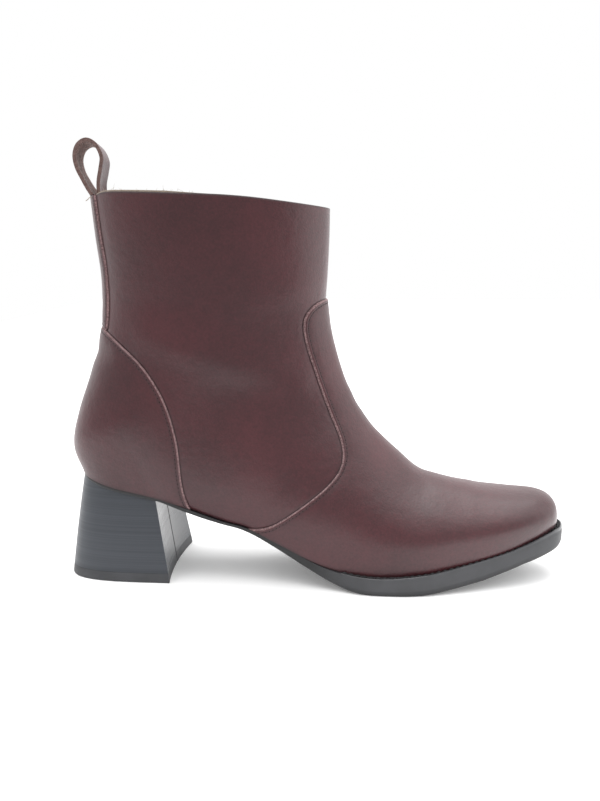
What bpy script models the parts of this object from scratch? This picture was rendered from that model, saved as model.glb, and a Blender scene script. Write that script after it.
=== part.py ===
"""Ankle boot on a flared block heel.

A hollow leather upper follows the last. Foot sections run from the toe over the instep to the
front of the heel, and closed leg sections run from there round the heel up to the collar. The
vamp, the counter and the back strip are cut from the same surface and lie on it. A welt, a
sole, a heel and a top lift carry it.

The tables are in millimetres. +X runs to the toe, +Y to the medial side and +Z up. The origin
is on the floor under the middle of the heel.
"""
from collections import namedtuple

import bpy
import numpy as np

MILLIMETRE = 0.001

# Driving sizes
GAP = 0.3                # clearance between pieces that meet
WALL = 1.7               # leather and lining of the upper
LAP = 1.2                # leather of an overlay
INSOLE_THICKNESS = 2.0
INSOLE_CLEARANCE = 0.5   # between the insole's edge and the wall of the upper
STRIP_HALF_WIDTH = 12.0  # strip over the back seam
LOOP_HALF_WIDTH = 6.2    # pull loop above it
STRAP_THICKNESS = 1.9
LIFT_HEIGHT = 5.0

# Sections of the last, from the toe to the collar. Each lies in a plane that runs straight
# across the boot from its low end to its top: foot is the half width at the feather edge,
# wide the half width at the belly, belly the belly's share of the section's height, and crown
# and base are how full the section is above and below the belly (2 is an ellipse). bow is how
# far its sides rise out of that plane.
Section = namedtuple(
    "Section",
    "low_x low_z top_x top_z foot_lateral foot_medial wide_lateral wide_medial belly crown base bow",
    defaults=(0.0,),
)
FOOT = [
    Section(217.3, 24.3, 217.3, 24.3, 0.0, 0.0, 0.0, 0.0, 0.45, 2.4, 2.0),
    Section(215.2, 23.8, 218.6, 31.5, 7.5, 8.0, 8.3, 8.8, 0.45, 2.4, 2.0),
    Section(209.5, 22.4, 216.6, 37.8, 13.0, 14.0, 14.5, 15.5, 0.44, 2.4, 2.0),
    Section(201.0, 20.0, 210.0, 41.3, 18.0, 19.5, 20.0, 21.5, 0.42, 2.3, 2.0),
    Section(187.0, 16.7, 197.0, 42.3, 23.5, 25.5, 26.0, 28.0, 0.40, 2.2, 2.0),
    Section(169.0, 13.3, 179.0, 44.1, 29.0, 30.5, 31.5, 33.0, 0.37, 2.1, 2.0),
    Section(149.0, 10.4, 160.5, 48.5, 33.5, 33.5, 36.0, 36.0, 0.34, 2.0, 2.0),
    Section(127.0, 9.4, 146.0, 54.6, 34.0, 31.5, 37.0, 35.0, 0.32, 1.9, 2.0),
    Section(103.0, 12.8, 135.2, 63.8, 30.5, 26.5, 35.0, 32.5, 0.33, 1.9, 2.0),
    Section(78.0, 22.4, 126.0, 72.8, 26.5, 22.5, 33.0, 31.0, 0.35, 1.9, 2.1),
    Section(50.0, 33.0, 118.6, 82.0, 25.0, 22.5, 31.5, 30.5, 0.37, 2.0, 2.2),
    Section(20.0, 42.6, 113.6, 90.5, 25.5, 25.0, 31.0, 31.0, 0.39, 2.0, 2.3),
]
HEEL_ROW = len(FOOT) - 1

# The feather edge, where the upper meets the sole, runs on from the last foot section
HeelEdge = namedtuple("HeelEdge", "x z lateral medial")
HEEL_EDGE = [
    HeelEdge(-3.0, 47.2, 24.2, 24.2),
    HeelEdge(-15.2, 49.4, 19.2, 19.2),
    HeelEdge(-20.6, 50.4, 12.0, 12.0),
    HeelEdge(-22.1, 50.7, 0.0, 0.0),
]
EDGE_END = HEEL_ROW + len(HEEL_EDGE)

# Leg sections close at the back seam, which is their low end
LEG = [
    Section(-27.6, 66.0, 106.8, 108.0, 0.0, 0.0, 31.0, 31.0, 0.43, 2.0, 2.4),
    Section(-24.6, 84.0, 102.6, 124.5, 0.0, 0.0, 31.0, 31.0, 0.455, 2.05, 2.15),
    Section(-17.6, 105.0, 101.4, 139.0, 0.0, 0.0, 31.5, 31.5, 0.47, 2.1, 1.95),
    Section(-12.0, 128.0, 102.0, 151.0, 0.0, 0.0, 32.5, 32.5, 0.48, 2.2, 1.8),
    Section(-11.0, 150.0, 102.5, 163.0, 0.0, 0.0, 34.0, 34.0, 0.48, 2.2, 1.8),
    Section(-13.1, 171.5, 102.9, 174.5, 0.0, 0.0, 35.5, 35.5, 0.49, 2.2, 1.8, 0.7),
    Section(-15.2, 193.0, 103.1, 185.0, 0.0, 0.0, 36.5, 36.5, 0.49, 2.2, 1.8, 1.5),
]
COLLAR = HEEL_ROW + len(LEG)
BACK_DIP = 2.1           # the collar dips this far at the back seam
BACK_DIP_LENGTH = 6.5

# How the surface is divided: steps between sections, and columns from the ridge at 0 over the
# belly and the feather edge to the back seam at 1
STEPS_PER_SECTION = 2
HEEL_STEPS = 4
EDGE_STEPS_PER_SECTION = 4
BELLY_PLACE = 0.40
FEATHER_PLACE = 0.55
COLUMNS_ABOVE = 7
COLUMNS_BELOW = 5
COLUMNS_ROUND_HEEL = 2 * len(HEEL_EDGE)

# Seams of the overlays, seen from the side. Each runs on past the boot at both ends.
SeamPoint = namedtuple("SeamPoint", "x z")
VAMP_SEAM = [
    SeamPoint(110.0, 141.5),
    SeamPoint(102.0, 141.0),
    SeamPoint(96.0, 138.5),
    SeamPoint(91.4, 132.5),
    SeamPoint(91.4, 123.0),
    SeamPoint(96.2, 106.0),
    SeamPoint(104.0, 86.0),
    SeamPoint(110.0, 71.0),
    SeamPoint(110.0, 61.0),
    SeamPoint(104.0, 52.5),
    SeamPoint(92.0, 42.5),
    SeamPoint(78.0, 32.5),
    SeamPoint(66.0, 27.5),
    SeamPoint(52.0, 26.5),
]
COUNTER_SEAM = [
    SeamPoint(-24.0, 130.0),
    SeamPoint(-12.0, 126.8),
    SeamPoint(1.0, 119.5),
    SeamPoint(14.0, 109.0),
    SeamPoint(24.0, 93.5),
    SeamPoint(29.8, 73.5),
    SeamPoint(31.7, 52.0),
    SeamPoint(33.6, 42.0),
    SeamPoint(37.0, 32.0),
]
POINTS_PER_SEAM_STEP = 8
SMALLEST_CUT = 0.4       # a seam keeps this far from the corners of the surface's cells

# Sole: underside height and how far the edge stands out from the feather edge
SoleStation = namedtuple("SoleStation", "x underside margin")
SOLE = [
    SoleStation(-30.0, 50.6, 1.6),
    SoleStation(-10.0, 47.4, 1.6),
    SoleStation(20.0, 41.2, 1.5),
    SoleStation(50.0, 30.2, 1.4),
    SoleStation(78.0, 19.2, 1.5),
    SoleStation(95.0, 10.2, 2.4),
    SoleStation(108.0, 3.4, 4.2),
    SoleStation(120.0, 0.0, 6.0),
    SoleStation(150.0, 0.0, 6.1),
    SoleStation(162.0, 2.3, 5.4),
    SoleStation(180.0, 7.3, 4.6),
    SoleStation(201.0, 12.0, 4.6),
    SoleStation(223.0, 16.4, 6.0),
]
EdgeLevel = namedtuple("EdgeLevel", "share draw_in")
EDGE_LEVELS = [          # lower edge of the sole: share of its height, and how far it draws in
    EdgeLevel(0.24, 0.0),
    EdgeLevel(0.08, 0.3),
    EdgeLevel(0.0, 1.0),
]
WELT_INNER_MARGIN = 3.1
WELT_END_X = 110.0
WELT_THICKNESS = 1.6
WELT_END_THICKNESS = 0.5
WELT_TAPER_LENGTH = 30.0

# Heel: its outline at the heel seat and at the floor
HeelLevel = namedtuple("HeelLevel", "z back front lateral medial hollow")
HEEL_SEAT = HeelLevel(45.0, -23.6, 17.6, 26.0, 26.4, 1.5)
HEEL_FLOOR = HeelLevel(0.0, -31.0, 24.7, 29.8, 31.2, 3.2)
HEEL_FULLNESS = 3.2      # how full the back of the heel is (2 is an ellipse)
HEEL_SIDE_STEPS = 12
HEEL_BREAST_STEPS = 8

# Pull loop: middle of the strap from outside the collar, over the top, to inside the collar.
# bend is how much the strap curves round the back of the leg there.
LoopPoint = namedtuple("LoopPoint", "x z bend")
LOOP = [
    LoopPoint(-15.6, 191.7, 1.0),
    LoopPoint(-16.9, 194.9, 0.75),
    LoopPoint(-18.6, 198.8, 0.45),
    LoopPoint(-21.1, 204.3, 0.2),
    LoopPoint(-22.1, 210.0, 0.05),
    LoopPoint(-20.5, 215.0, 0.0),
    LoopPoint(-16.2, 217.2, 0.0),
    LoopPoint(-11.7, 214.8, 0.0),
    LoopPoint(-9.1, 209.2, 0.05),
    LoopPoint(-10.0, 203.5, 0.2),
    LoopPoint(-11.5, 198.0, 0.5),
    LoopPoint(-12.1, 192.4, 0.95),
    LoopPoint(-11.4, 187.0, 1.1),
    LoopPoint(-10.4, 177.5, 1.1),
]
LOOP_STEPS = 3
LOOP_COLUMNS = 6
LEG_BACK_RADIUS = 14.5
LOOP_LEAN = 0.15         # the free loop sinks towards the medial side by this slope


TINY = 1e-6
FULLEST_FOOT = 0.995     # a section's foot is at most this share of its belly's width


def cubic(before, start, end, after, part):
    """Smooth curve from start to end that heads the way of the points before and after them."""
    slope = end - before
    bend = 2 * before - 5 * start + 4 * end - after
    twist = 3 * (start - end) + after - before
    return start + 0.5 * part * (slope + part * (bend + part * twist))


def through(rows, place):
    """Smooth curve through rows that have one extra row at each end; place 0 is the second."""
    rows = np.asarray(rows, float)
    place = np.asarray(place, float)
    first = np.clip(np.floor(place).astype(int), 0, len(rows) - 4)
    part = (place - first)[..., None]
    return cubic(rows[first], rows[first + 1], rows[first + 2], rows[first + 3], part)


def run_on(rows):
    """Rows with an extra one at each end that carries straight on."""
    rows = np.asarray(rows, float)
    return np.vstack([2 * rows[0] - rows[1], rows, 2 * rows[-1] - rows[-2]])


def unit(vectors):
    return vectors / np.maximum(np.linalg.norm(vectors, axis=-1, keepdims=True), TINY)


SECTIONS = np.array(FOOT + LEG)
MIRROR = np.array([1, 1, -1, -1])
EDGE_ROWS = np.array(
    [(row.low_x, row.low_z, row.foot_lateral, row.foot_medial) for row in FOOT] + HEEL_EDGE
)
EDGE_ROWS = np.vstack([EDGE_ROWS[1] * MIRROR, EDGE_ROWS, EDGE_ROWS[-2] * MIRROR])


def feather_edge(place):
    """Feather edge from the toe to the back seam: x, z and the half width on either side."""
    return through(EDGE_ROWS, place)


def feather_points(place, across):
    x, z, lateral, medial = np.moveaxis(feather_edge(place), -1, 0)
    return np.stack(np.broadcast_arrays(x, np.where(across < 0, -lateral, medial), z), axis=-1)


def row_points(row, across):
    """Points of the sections themselves. row counts them from the toe to the collar."""
    (low_x, low_z, top_x, top_z, foot_lateral, foot_medial, wide_lateral, wide_medial,
     belly, crown, base, bow) = np.moveaxis(SECTIONS[row], -1, 0)
    share = np.abs(across)
    lateral = across < 0
    foot = np.where(lateral, foot_lateral, foot_medial)
    wide = np.maximum(np.where(lateral, wide_lateral, wide_medial), TINY)
    turn = np.clip(share / BELLY_PLACE, 0, 1) * np.pi / 2
    out_above = wide * np.sin(turn) ** (2 / crown)
    high_above = belly + (1 - belly) * np.clip(np.cos(turn), 0, 1) ** (2 / crown)
    row_end = np.where(row > HEEL_ROW, 1, FEATHER_PLACE)
    last_turn = np.arccos(np.clip(foot / wide, 0, FULLEST_FOOT) ** (base / 2))
    turn = np.clip((share - BELLY_PLACE) / (row_end - BELLY_PLACE), 0, 1) * last_turn
    out_below = wide * np.clip(np.cos(turn), 0, 1) ** (2 / base)
    high_below = belly - belly * (np.sin(turn) / np.sin(last_turn)) ** (2 / base)
    out = np.where(share <= BELLY_PLACE, out_above, out_below)
    high = np.where(share <= BELLY_PLACE, high_above, high_below)
    x = low_x + high * (top_x - low_x)
    dip = np.where(row == COLLAR, BACK_DIP, 0) * np.exp(-(((x - low_x) / BACK_DIP_LENGTH) ** 2))
    z = low_z + high * (top_z - low_z) + bow * (out / wide) ** 2 - dip
    points = np.stack([x, np.sign(across) * out, z], axis=-1)
    past_feather = (share - FEATHER_PLACE) / (1 - FEATHER_PLACE)
    round_heel = feather_points(HEEL_ROW + past_feather * len(HEEL_EDGE), across)
    return np.where(((row == HEEL_ROW) & (past_feather > 0))[..., None], round_heel, points)


def last_surface(place, across):
    """Points of the last. place counts the sections from the toe to the collar. across runs
    from the ridge at 0 to -1 on the lateral side and 1 on the medial one. Before the heel the
    sides end at the feather place, and from there on they meet at the back seam."""
    place, across = np.broadcast_arrays(np.asarray(place, float), np.asarray(across, float))
    first = np.clip(np.floor(place).astype(int), 0, COLLAR - 1)
    start = row_points(first, across)
    end = row_points(first + 1, across)
    before = row_points(np.maximum(first - 1, 0), across)
    after = row_points(np.minimum(first + 2, COLLAR), across)
    at_toe = (first == 0)[..., None]
    at_collar = (first == COLLAR - 1)[..., None]
    to_heel = (first == HEEL_ROW - 1)[..., None]
    from_heel = (first == HEEL_ROW)[..., None]
    low = np.clip((np.abs(across) - BELLY_PLACE) / (FEATHER_PLACE - BELLY_PLACE), 0, 1)[..., None]
    edge_step = feather_points(HEEL_ROW + 1, across) - feather_points(HEEL_ROW, across)
    round_toe = np.array([1, -1, -1]) * end + np.array([0, 0, 2]) * start
    before = np.where(at_toe, round_toe, before)
    before = np.where(from_heel, before + low * (2 * start - end - before), before)
    after = np.where(to_heel, after + low * (end + edge_step - after), after)
    after = np.where(at_collar, 2 * end - start, after)
    return cubic(before, start, end, after, (place - first)[..., None])


PLACE_STEP = 0.3         # the surface's slope is read over this much of a section's step
ACROSS_STEP = 0.03
NEAREST_TO_TOE = 0.15    # and no nearer to the toe's tip than this
TOE_CAP_END = 1.6        # up to here no layer dips below the feather edge


def is_on_feather(place, across):
    return (np.abs(across) > FEATHER_PLACE - TINY) & (place < HEEL_ROW + TINY)


def outward(place, across):
    """Outward direction: level along the feather edge and in the collar's own plane there."""
    place = np.asarray(place, float)
    across = np.asarray(across, float)
    at = np.maximum(place, NEAREST_TO_TOE)
    first_place = np.where(np.abs(across) > FEATHER_PLACE + TINY, HEEL_ROW, 0)
    last_across = np.where(place < HEEL_ROW - TINY, FEATHER_PLACE, 1)
    ahead = last_surface(np.minimum(at + PLACE_STEP, COLLAR), across)
    behind = last_surface(np.maximum(at - PLACE_STEP, first_place), across)
    right = last_surface(at, np.minimum(across + ACROSS_STEP, last_across))
    left = last_surface(at, np.maximum(across - ACROSS_STEP, -last_across))
    direction = unit(np.cross(right - left, ahead - behind))
    at_tip = place < NEAREST_TO_TOE
    at_seam = np.abs(across) > 1 - TINY
    direction[..., 1] = np.where(at_tip | at_seam, 0, direction[..., 1])
    direction[..., 2] = np.where(at_tip | is_on_feather(place, across), 0, direction[..., 2])
    direction[..., 2] = np.where(place < TOE_CAP_END, np.maximum(direction[..., 2], 0), direction[..., 2])
    collar = LEG[-1]
    collar_up = unit(np.array([collar.low_z - collar.top_z, 0, collar.top_x - collar.low_x]))
    lift = np.sum(direction * collar_up, axis=-1, keepdims=True) * collar_up
    direction = np.where((place > COLLAR - TINY)[..., None], direction - lift, direction)
    return unit(direction)


FEATHER_SAMPLE_COUNT = 400
FEATHER_SAMPLES = feather_edge(np.linspace(EDGE_END, 0, FEATHER_SAMPLE_COUNT))


def feather_height(x):
    return np.interp(x, FEATHER_SAMPLES[:, 0], FEATHER_SAMPLES[:, 1])


def skin(place, across, distance):
    """Surface that lies a distance outside the last, and still stands on the feather line."""
    points = last_surface(place, across) + distance * outward(place, across)
    on_feather = is_on_feather(place, across)
    points[..., 2] = np.where(on_feather, feather_height(points[..., 0]), points[..., 2])
    return points


def evenly(start, end, steps):
    """Places from start to end, without the start."""
    return np.linspace(start, end, steps + 1)[1:]


def last_grid():
    """Corner numbers, places and acrosses of the last's cells, shared at the toe and the seam."""
    places = np.concatenate([
        [0],
        evenly(0, HEEL_ROW, HEEL_ROW * STEPS_PER_SECTION),
        evenly(HEEL_ROW, HEEL_ROW + 1, HEEL_STEPS),
        evenly(HEEL_ROW + 1, COLLAR, (COLLAR - HEEL_ROW - 1) * STEPS_PER_SECTION),
    ])
    half = np.concatenate([
        evenly(0, BELLY_PLACE, COLUMNS_ABOVE),
        evenly(BELLY_PLACE, FEATHER_PLACE, COLUMNS_BELOW),
        evenly(FEATHER_PLACE, 1, COLUMNS_ROUND_HEEL),
    ])
    acrosses = np.concatenate([-half[::-1], [0], half])
    numbers = np.arange(len(places) * len(acrosses)).reshape(len(places), len(acrosses))
    numbers[0, :] = numbers[0, len(half)]
    at_heel = places > HEEL_ROW - TINY
    numbers[at_heel, -1] = numbers[at_heel, 0]
    cells = []
    for row in range(len(places) - 1):
        for column in range(len(acrosses) - 1):
            outer_across = max(abs(acrosses[column]), abs(acrosses[column + 1]))
            if at_heel[row] or outer_across < FEATHER_PLACE + TINY:
                corners = [numbers[row, column], numbers[row, column + 1],
                           numbers[row + 1, column + 1], numbers[row + 1, column]]
                cells.append(list(dict.fromkeys(corners)))
    place_of, across_of = np.meshgrid(places, acrosses, indexing="ij")
    return cells, place_of.ravel(), across_of.ravel()


def thick_sheet(polygons, outer, inner):
    """Closed solid between two layers of the same polygons."""
    used = sorted({number for polygon in polygons for number in polygon})
    renumber = {number: index for index, number in enumerate(used)}
    count = len(used)
    points = np.vstack([outer[used], inner[used]])
    faces = []
    open_edges = {}
    for polygon in polygons:
        face = [renumber[number] for number in polygon]
        faces.append(face)
        faces.append([count + index for index in reversed(face)])
        for start, end in zip(face, face[1:] + face[:1]):
            if (end, start) in open_edges:
                del open_edges[(end, start)]
            else:
                open_edges[(start, end)] = True
    for start, end in open_edges:
        faces.append([end, start, count + start, count + end])
    return points, faces


def same_side(start, end):
    """Two acrosses of one cell, where the back seam counts to the side of the other one."""
    if abs(start - end) <= 1:
        return start, end
    if abs(start) > abs(end):
        return -start, end
    return start, -end


def cut_panel(field):
    """Polygons of the part of the last where the field is above zero, cut along its zero line."""
    cells, place_of, across_of = last_grid()
    values = field(last_surface(place_of, across_of), across_of)
    cut_side = np.where(values < 0, -SMALLEST_CUT, SMALLEST_CUT)
    values = np.where(np.abs(values) < SMALLEST_CUT, cut_side, values)
    places = list(place_of)
    acrosses = list(across_of)
    crossings = {}
    polygons = []
    for cell in cells:
        polygon = []
        for start, end in zip(cell, cell[1:] + cell[:1]):
            if values[start] > 0:
                polygon.append(start)
            if values[start] * values[end] < 0:
                key = (min(start, end), max(start, end))
                if key not in crossings:
                    share = values[start] / (values[start] - values[end])
                    start_across, end_across = same_side(acrosses[start], acrosses[end])
                    places.append(places[start] + share * (places[end] - places[start]))
                    acrosses.append(start_across + share * (end_across - start_across))
                    crossings[key] = len(places) - 1
                polygon.append(crossings[key])
        if len(polygon) > 2:
            polygons.append(polygon)
    return polygons, np.array(places), np.array(acrosses)


def beside_seam(points, seam):
    """Distance from a seam seen from the side, above zero on the left of its run."""
    steps = np.linspace(0, len(seam) - 1, (len(seam) - 1) * POINTS_PER_SEAM_STEP + 1)
    line = through(run_on(seam), steps)
    start, run = line[:-1], np.diff(line, axis=0)
    away = points[:, None, [0, 2]] - start
    share = np.clip(np.sum(away * run, axis=-1) / np.sum(run * run, axis=-1), 0, 1)
    offset = away - share[..., None] * run
    distance = np.linalg.norm(offset, axis=-1)
    nearest = np.argmin(distance, axis=1)
    every = np.arange(len(points))
    side = run[nearest, 0] * offset[every, nearest, 1] - run[nearest, 1] * offset[every, nearest, 0]
    return np.copysign(distance[every, nearest], side)


def vamp_field(points, across):
    return beside_seam(points, VAMP_SEAM)


def counter_field(points, across):
    return -beside_seam(points, COUNTER_SEAM)


def strip_field(points, across):
    above_counter = beside_seam(points, COUNTER_SEAM) - 2 * GAP - SMALLEST_CUT
    at_back = (np.abs(across) > BELLY_PLACE) & (points[:, 0] < 0)
    near_seam = np.where(at_back, STRIP_HALF_WIDTH - np.abs(points[:, 1]), -STRIP_HALF_WIDTH)
    return np.minimum(near_seam, above_counter)


def panel(field):
    """Overlay that lies on the upper where the field is above zero."""
    polygons, places, acrosses = cut_panel(field)
    return thick_sheet(polygons, skin(places, acrosses, GAP + LAP), skin(places, acrosses, GAP))


def upper_shell():
    cells, places, acrosses = last_grid()
    return thick_sheet(cells, skin(places, acrosses, 0), skin(places, acrosses, -WALL))


def sole_values(x):
    """Underside height and edge margin of the sole at a place along it."""
    stations = np.array(SOLE)
    places = np.interp(x, stations[:, 0], np.arange(len(stations)))
    values = through(run_on(stations), places)
    return np.maximum(values[..., 1], 0), values[..., 2]


EDGE_PLACES = np.linspace(0, EDGE_END, EDGE_END * EDGE_STEPS_PER_SECTION + 1)
EDGE_STEP = 0.02


def edge_side(margin, side):
    """One side of the feather edge from the toe to the heel, moved out level by a margin."""
    ahead = feather_points(EDGE_PLACES + EDGE_STEP, side)
    behind = feather_points(EDGE_PLACES - EDGE_STEP, side)
    run = ahead - behind
    normal = unit(np.column_stack([side * run[:, 1], -side * run[:, 0]]))
    normal[0] = (1, 0)
    normal[-1] = (-1, 0)
    return feather_points(EDGE_PLACES, side)[:, :2] + np.asarray(margin)[:, None] * normal


def edge_loop(margin, height):
    """Closed loop of points: toe, lateral side, heel, medial side. margin is a number for each
    place along the edge, and height a function of x."""
    lateral = edge_side(margin, -1)
    medial = edge_side(margin, 1)
    plan = np.vstack([lateral, medial[-2:0:-1]])
    return np.column_stack([plan, height(plan[:, 0])])


def ladder_solid(loops):
    """Closed solid through loops of the same number of points, from the top one down."""
    count = len(loops[0])
    half = count // 2
    points = np.vstack(loops)
    faces = []
    rungs = [(step, (count - step) % count) for step in range(half + 1)]
    last_loop = (len(loops) - 1) * count
    for (left, right), (next_left, next_right) in zip(rungs, rungs[1:]):
        corners = list(dict.fromkeys([right, next_right, next_left, left]))
        faces.append(corners)
        faces.append([last_loop + corner for corner in reversed(corners)])
    for level in range(len(loops) - 1):
        for step in range(count):
            after = (step + 1) % count
            top, low = level * count, (level + 1) * count
            faces.append([top + step, top + after, low + after, low + step])
    return points, faces


def edge_margins():
    return sole_values(feather_edge(EDGE_PLACES)[:, 0])[1]


def outsole_solid():
    margin = edge_margins()

    def top(x):
        return feather_height(x) - GAP

    loops = [edge_loop(margin, top)]
    for share, draw_in in EDGE_LEVELS:
        def level(x, share=share):
            underside = sole_values(x)[0]
            return underside + share * (top(x) - underside)
        loops.append(edge_loop(margin - draw_in, level))
    return ladder_solid(loops)


def insole_solid():
    inset = np.full(len(EDGE_PLACES), -(WALL + INSOLE_CLEARANCE))
    return ladder_solid([
        edge_loop(inset, lambda x: feather_height(x) + INSOLE_THICKNESS),
        edge_loop(inset, feather_height),
    ])


def welt_solid():
    """Strip on the sole's margin, round the toe from one side of the waist to the other."""
    margin = edge_margins()
    inner_margin = np.full(len(margin), WELT_INNER_MARGIN)
    sides = []
    for side in (-1, 1):
        outer = edge_side(margin, side)
        inner = edge_side(inner_margin, side)
        kept = outer[:, 0] >= WELT_END_X
        sides.append((inner[kept], outer[kept]))
    inner = np.vstack([sides[0][0][::-1], sides[1][0][1:]])
    outer = np.vstack([sides[0][1][::-1], sides[1][1][1:]])

    def thickness(x):
        share = np.clip((x - WELT_END_X) / WELT_TAPER_LENGTH, 0, 1)
        return WELT_END_THICKNESS + (WELT_THICKNESS - WELT_END_THICKNESS) * share

    def raised(plan, lift):
        return np.column_stack([plan, feather_height(plan[:, 0]) + lift])

    corners = [raised(inner, 0), raised(outer, 0),
               raised(outer, thickness(outer[:, 0])), raised(inner, thickness(inner[:, 0]))]
    return swept_solid(np.stack(corners, axis=1))


def swept_solid(rings):
    """Closed solid through open rings of corners, capped at both ends."""
    count = rings.shape[1]
    points = rings.reshape(-1, 3)
    faces = [list(range(count)), [len(points) - 1 - corner for corner in range(count)]]
    for ring in range(len(rings) - 1):
        for corner in range(count):
            after = (corner + 1) % count
            here, there = ring * count, (ring + 1) * count
            faces.append([here + after, here + corner, there + corner, there + after])
    return points, faces


def heel_plan(height):
    """Outline of the heel at a height: round at the back, hollow at the breast."""
    share = height / HEEL_SEAT.z
    level = HeelLevel(*(np.array(HEEL_FLOOR) + share * (np.array(HEEL_SEAT) - np.array(HEEL_FLOOR))))
    turn = np.linspace(-np.pi / 2, np.pi / 2, 2 * HEEL_SIDE_STEPS + 1)
    half = np.where(turn < 0, level.lateral, level.medial)
    power = 2 / HEEL_FULLNESS
    back_x = level.front - (level.front - level.back) * np.clip(np.cos(turn), 0, 1) ** power
    back_y = np.sign(turn) * half * np.abs(np.sin(turn)) ** power
    across = np.linspace(1, -1, HEEL_BREAST_STEPS + 1)[1:-1]
    breast_x = level.front - level.hollow * (1 - across ** 2)
    breast_y = np.where(across < 0, level.lateral, level.medial) * across
    return np.column_stack([np.append(back_x, breast_x), np.append(back_y, breast_y)])


def capped_solid(top, low):
    """Closed solid between two loops, each closed by one face."""
    count = len(top)
    faces = [list(range(count - 1, -1, -1)), list(range(count, 2 * count))]
    for step in range(count):
        after = (step + 1) % count
        faces.append([step, after, count + after, count + step])
    return np.vstack([top, low]), faces


def level_loop(plan, height):
    return np.column_stack([plan, np.broadcast_to(height, len(plan))])


def heel_solid():
    seat = heel_plan(HEEL_SEAT.z)
    under_sole = sole_values(seat[:, 0])[0] - GAP
    foot = heel_plan(LIFT_HEIGHT + GAP)
    return capped_solid(level_loop(seat, under_sole), level_loop(foot, LIFT_HEIGHT + GAP))


def top_lift_solid():
    return capped_solid(level_loop(heel_plan(LIFT_HEIGHT), LIFT_HEIGHT), level_loop(heel_plan(0), 0))


def pull_loop_solid():
    steps = np.linspace(0, len(LOOP) - 1, (len(LOOP) - 1) * LOOP_STEPS + 1)
    path = through(run_on(LOOP), steps)
    run = unit(np.gradient(path[:, :2], axis=0))
    normal = np.column_stack([-run[:, 1], run[:, 0]])
    across = np.linspace(-LOOP_HALF_WIDTH, LOOP_HALF_WIDTH, LOOP_COLUMNS + 1)
    rings = []
    for (x, z, bend), (normal_x, normal_z) in zip(path, normal):
        sag = bend * across ** 2 / (2 * LEG_BACK_RADIUS)
        faces = []
        for side in (1, -1):
            offset = side * STRAP_THICKNESS / 2
            height = z + offset * normal_z - (1 - bend) * LOOP_LEAN * across
            face = np.column_stack([x + sag + offset * normal_x, across, height])
            faces.append(face if side > 0 else face[::-1])
        rings.append(np.vstack(faces))
    return swept_solid(np.array(rings))


Finish = namedtuple("Finish", "red green blue roughness")
LEATHER = Finish(0.095, 0.030, 0.034, 0.45)
STRAP_LEATHER = Finish(0.110, 0.040, 0.040, 0.50)
INSOLE_LEATHER = Finish(0.55, 0.42, 0.30, 0.70)
SOLE_RUBBER = Finish(0.022, 0.022, 0.025, 0.55)
HEEL_STACK = Finish(0.026, 0.026, 0.030, 0.45)

PIECES = [
    ("upper", upper_shell, (), LEATHER),
    ("vamp", panel, (vamp_field,), LEATHER),
    ("counter", panel, (counter_field,), LEATHER),
    ("back_strip", panel, (strip_field,), STRAP_LEATHER),
    ("pull_loop", pull_loop_solid, (), STRAP_LEATHER),
    ("insole", insole_solid, (), INSOLE_LEATHER),
    ("welt", welt_solid, (), SOLE_RUBBER),
    ("outsole", outsole_solid, (), SOLE_RUBBER),
    ("heel", heel_solid, (), HEEL_STACK),
    ("top_lift", top_lift_solid, (), SOLE_RUBBER),
]
SMOOTH_BELOW = np.radians(35)


def add_piece(name, solid, finish):
    points, faces = solid
    mesh = bpy.data.meshes.new(name)
    mesh.from_pydata((points * MILLIMETRE).tolist(), [], faces)
    mesh.update()
    mesh.shade_smooth()
    mesh.set_sharp_from_angle(angle=SMOOTH_BELOW)
    material = bpy.data.materials.new(name)
    material.use_nodes = True
    shader = material.node_tree.nodes["Principled BSDF"]
    shader.inputs["Base Color"].default_value = (finish.red, finish.green, finish.blue, 1)
    shader.inputs["Roughness"].default_value = finish.roughness
    shader.inputs["Metallic"].default_value = 0
    mesh.materials.append(material)
    piece = bpy.data.objects.new(name, mesh)
    bpy.context.scene.collection.objects.link(piece)


for old in list(bpy.data.objects):
    bpy.data.objects.remove(old)
for piece_name, make, details, piece_finish in PIECES:
    add_piece(piece_name, make(*details), piece_finish)
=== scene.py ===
"""Looks of a pull-on ankle boot in smooth burgundy leather, on a black sole and a flared block heel.

The tables repeat the boot's own sizes in millimetres: +X runs to the toe, +Y to the medial side
and +Z up, from the floor under the middle of the heel.
"""
from collections import namedtuple

import bpy
import numpy as np
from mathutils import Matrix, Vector


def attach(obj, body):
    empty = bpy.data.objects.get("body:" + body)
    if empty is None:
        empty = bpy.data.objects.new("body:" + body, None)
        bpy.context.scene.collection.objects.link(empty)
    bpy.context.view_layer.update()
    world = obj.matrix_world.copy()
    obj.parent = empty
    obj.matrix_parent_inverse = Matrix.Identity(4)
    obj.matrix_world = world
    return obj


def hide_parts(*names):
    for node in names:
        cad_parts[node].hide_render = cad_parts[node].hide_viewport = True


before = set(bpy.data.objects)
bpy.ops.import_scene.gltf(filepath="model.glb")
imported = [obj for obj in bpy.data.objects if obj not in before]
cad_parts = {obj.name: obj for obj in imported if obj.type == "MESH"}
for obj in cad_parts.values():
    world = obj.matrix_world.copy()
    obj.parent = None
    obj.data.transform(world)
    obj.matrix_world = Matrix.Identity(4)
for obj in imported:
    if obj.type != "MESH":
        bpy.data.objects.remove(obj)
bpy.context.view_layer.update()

# Upper: the quarters and the shaft, one wall of smooth burgundy leather that was pulled over a
# last and closed down the back. The leather keeps the last's shape, with soft bends at the ankle
# and the instep, and its cut edge at the collar is rounded and dyed dark.
MILLIMETRE = 0.001
TINY = 1e-6
Section = namedtuple(
    "Section",
    "low_x low_z top_x top_z foot_lateral foot_medial wide_lateral wide_medial belly crown base bow",
    defaults=(0.0,),
)
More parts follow.
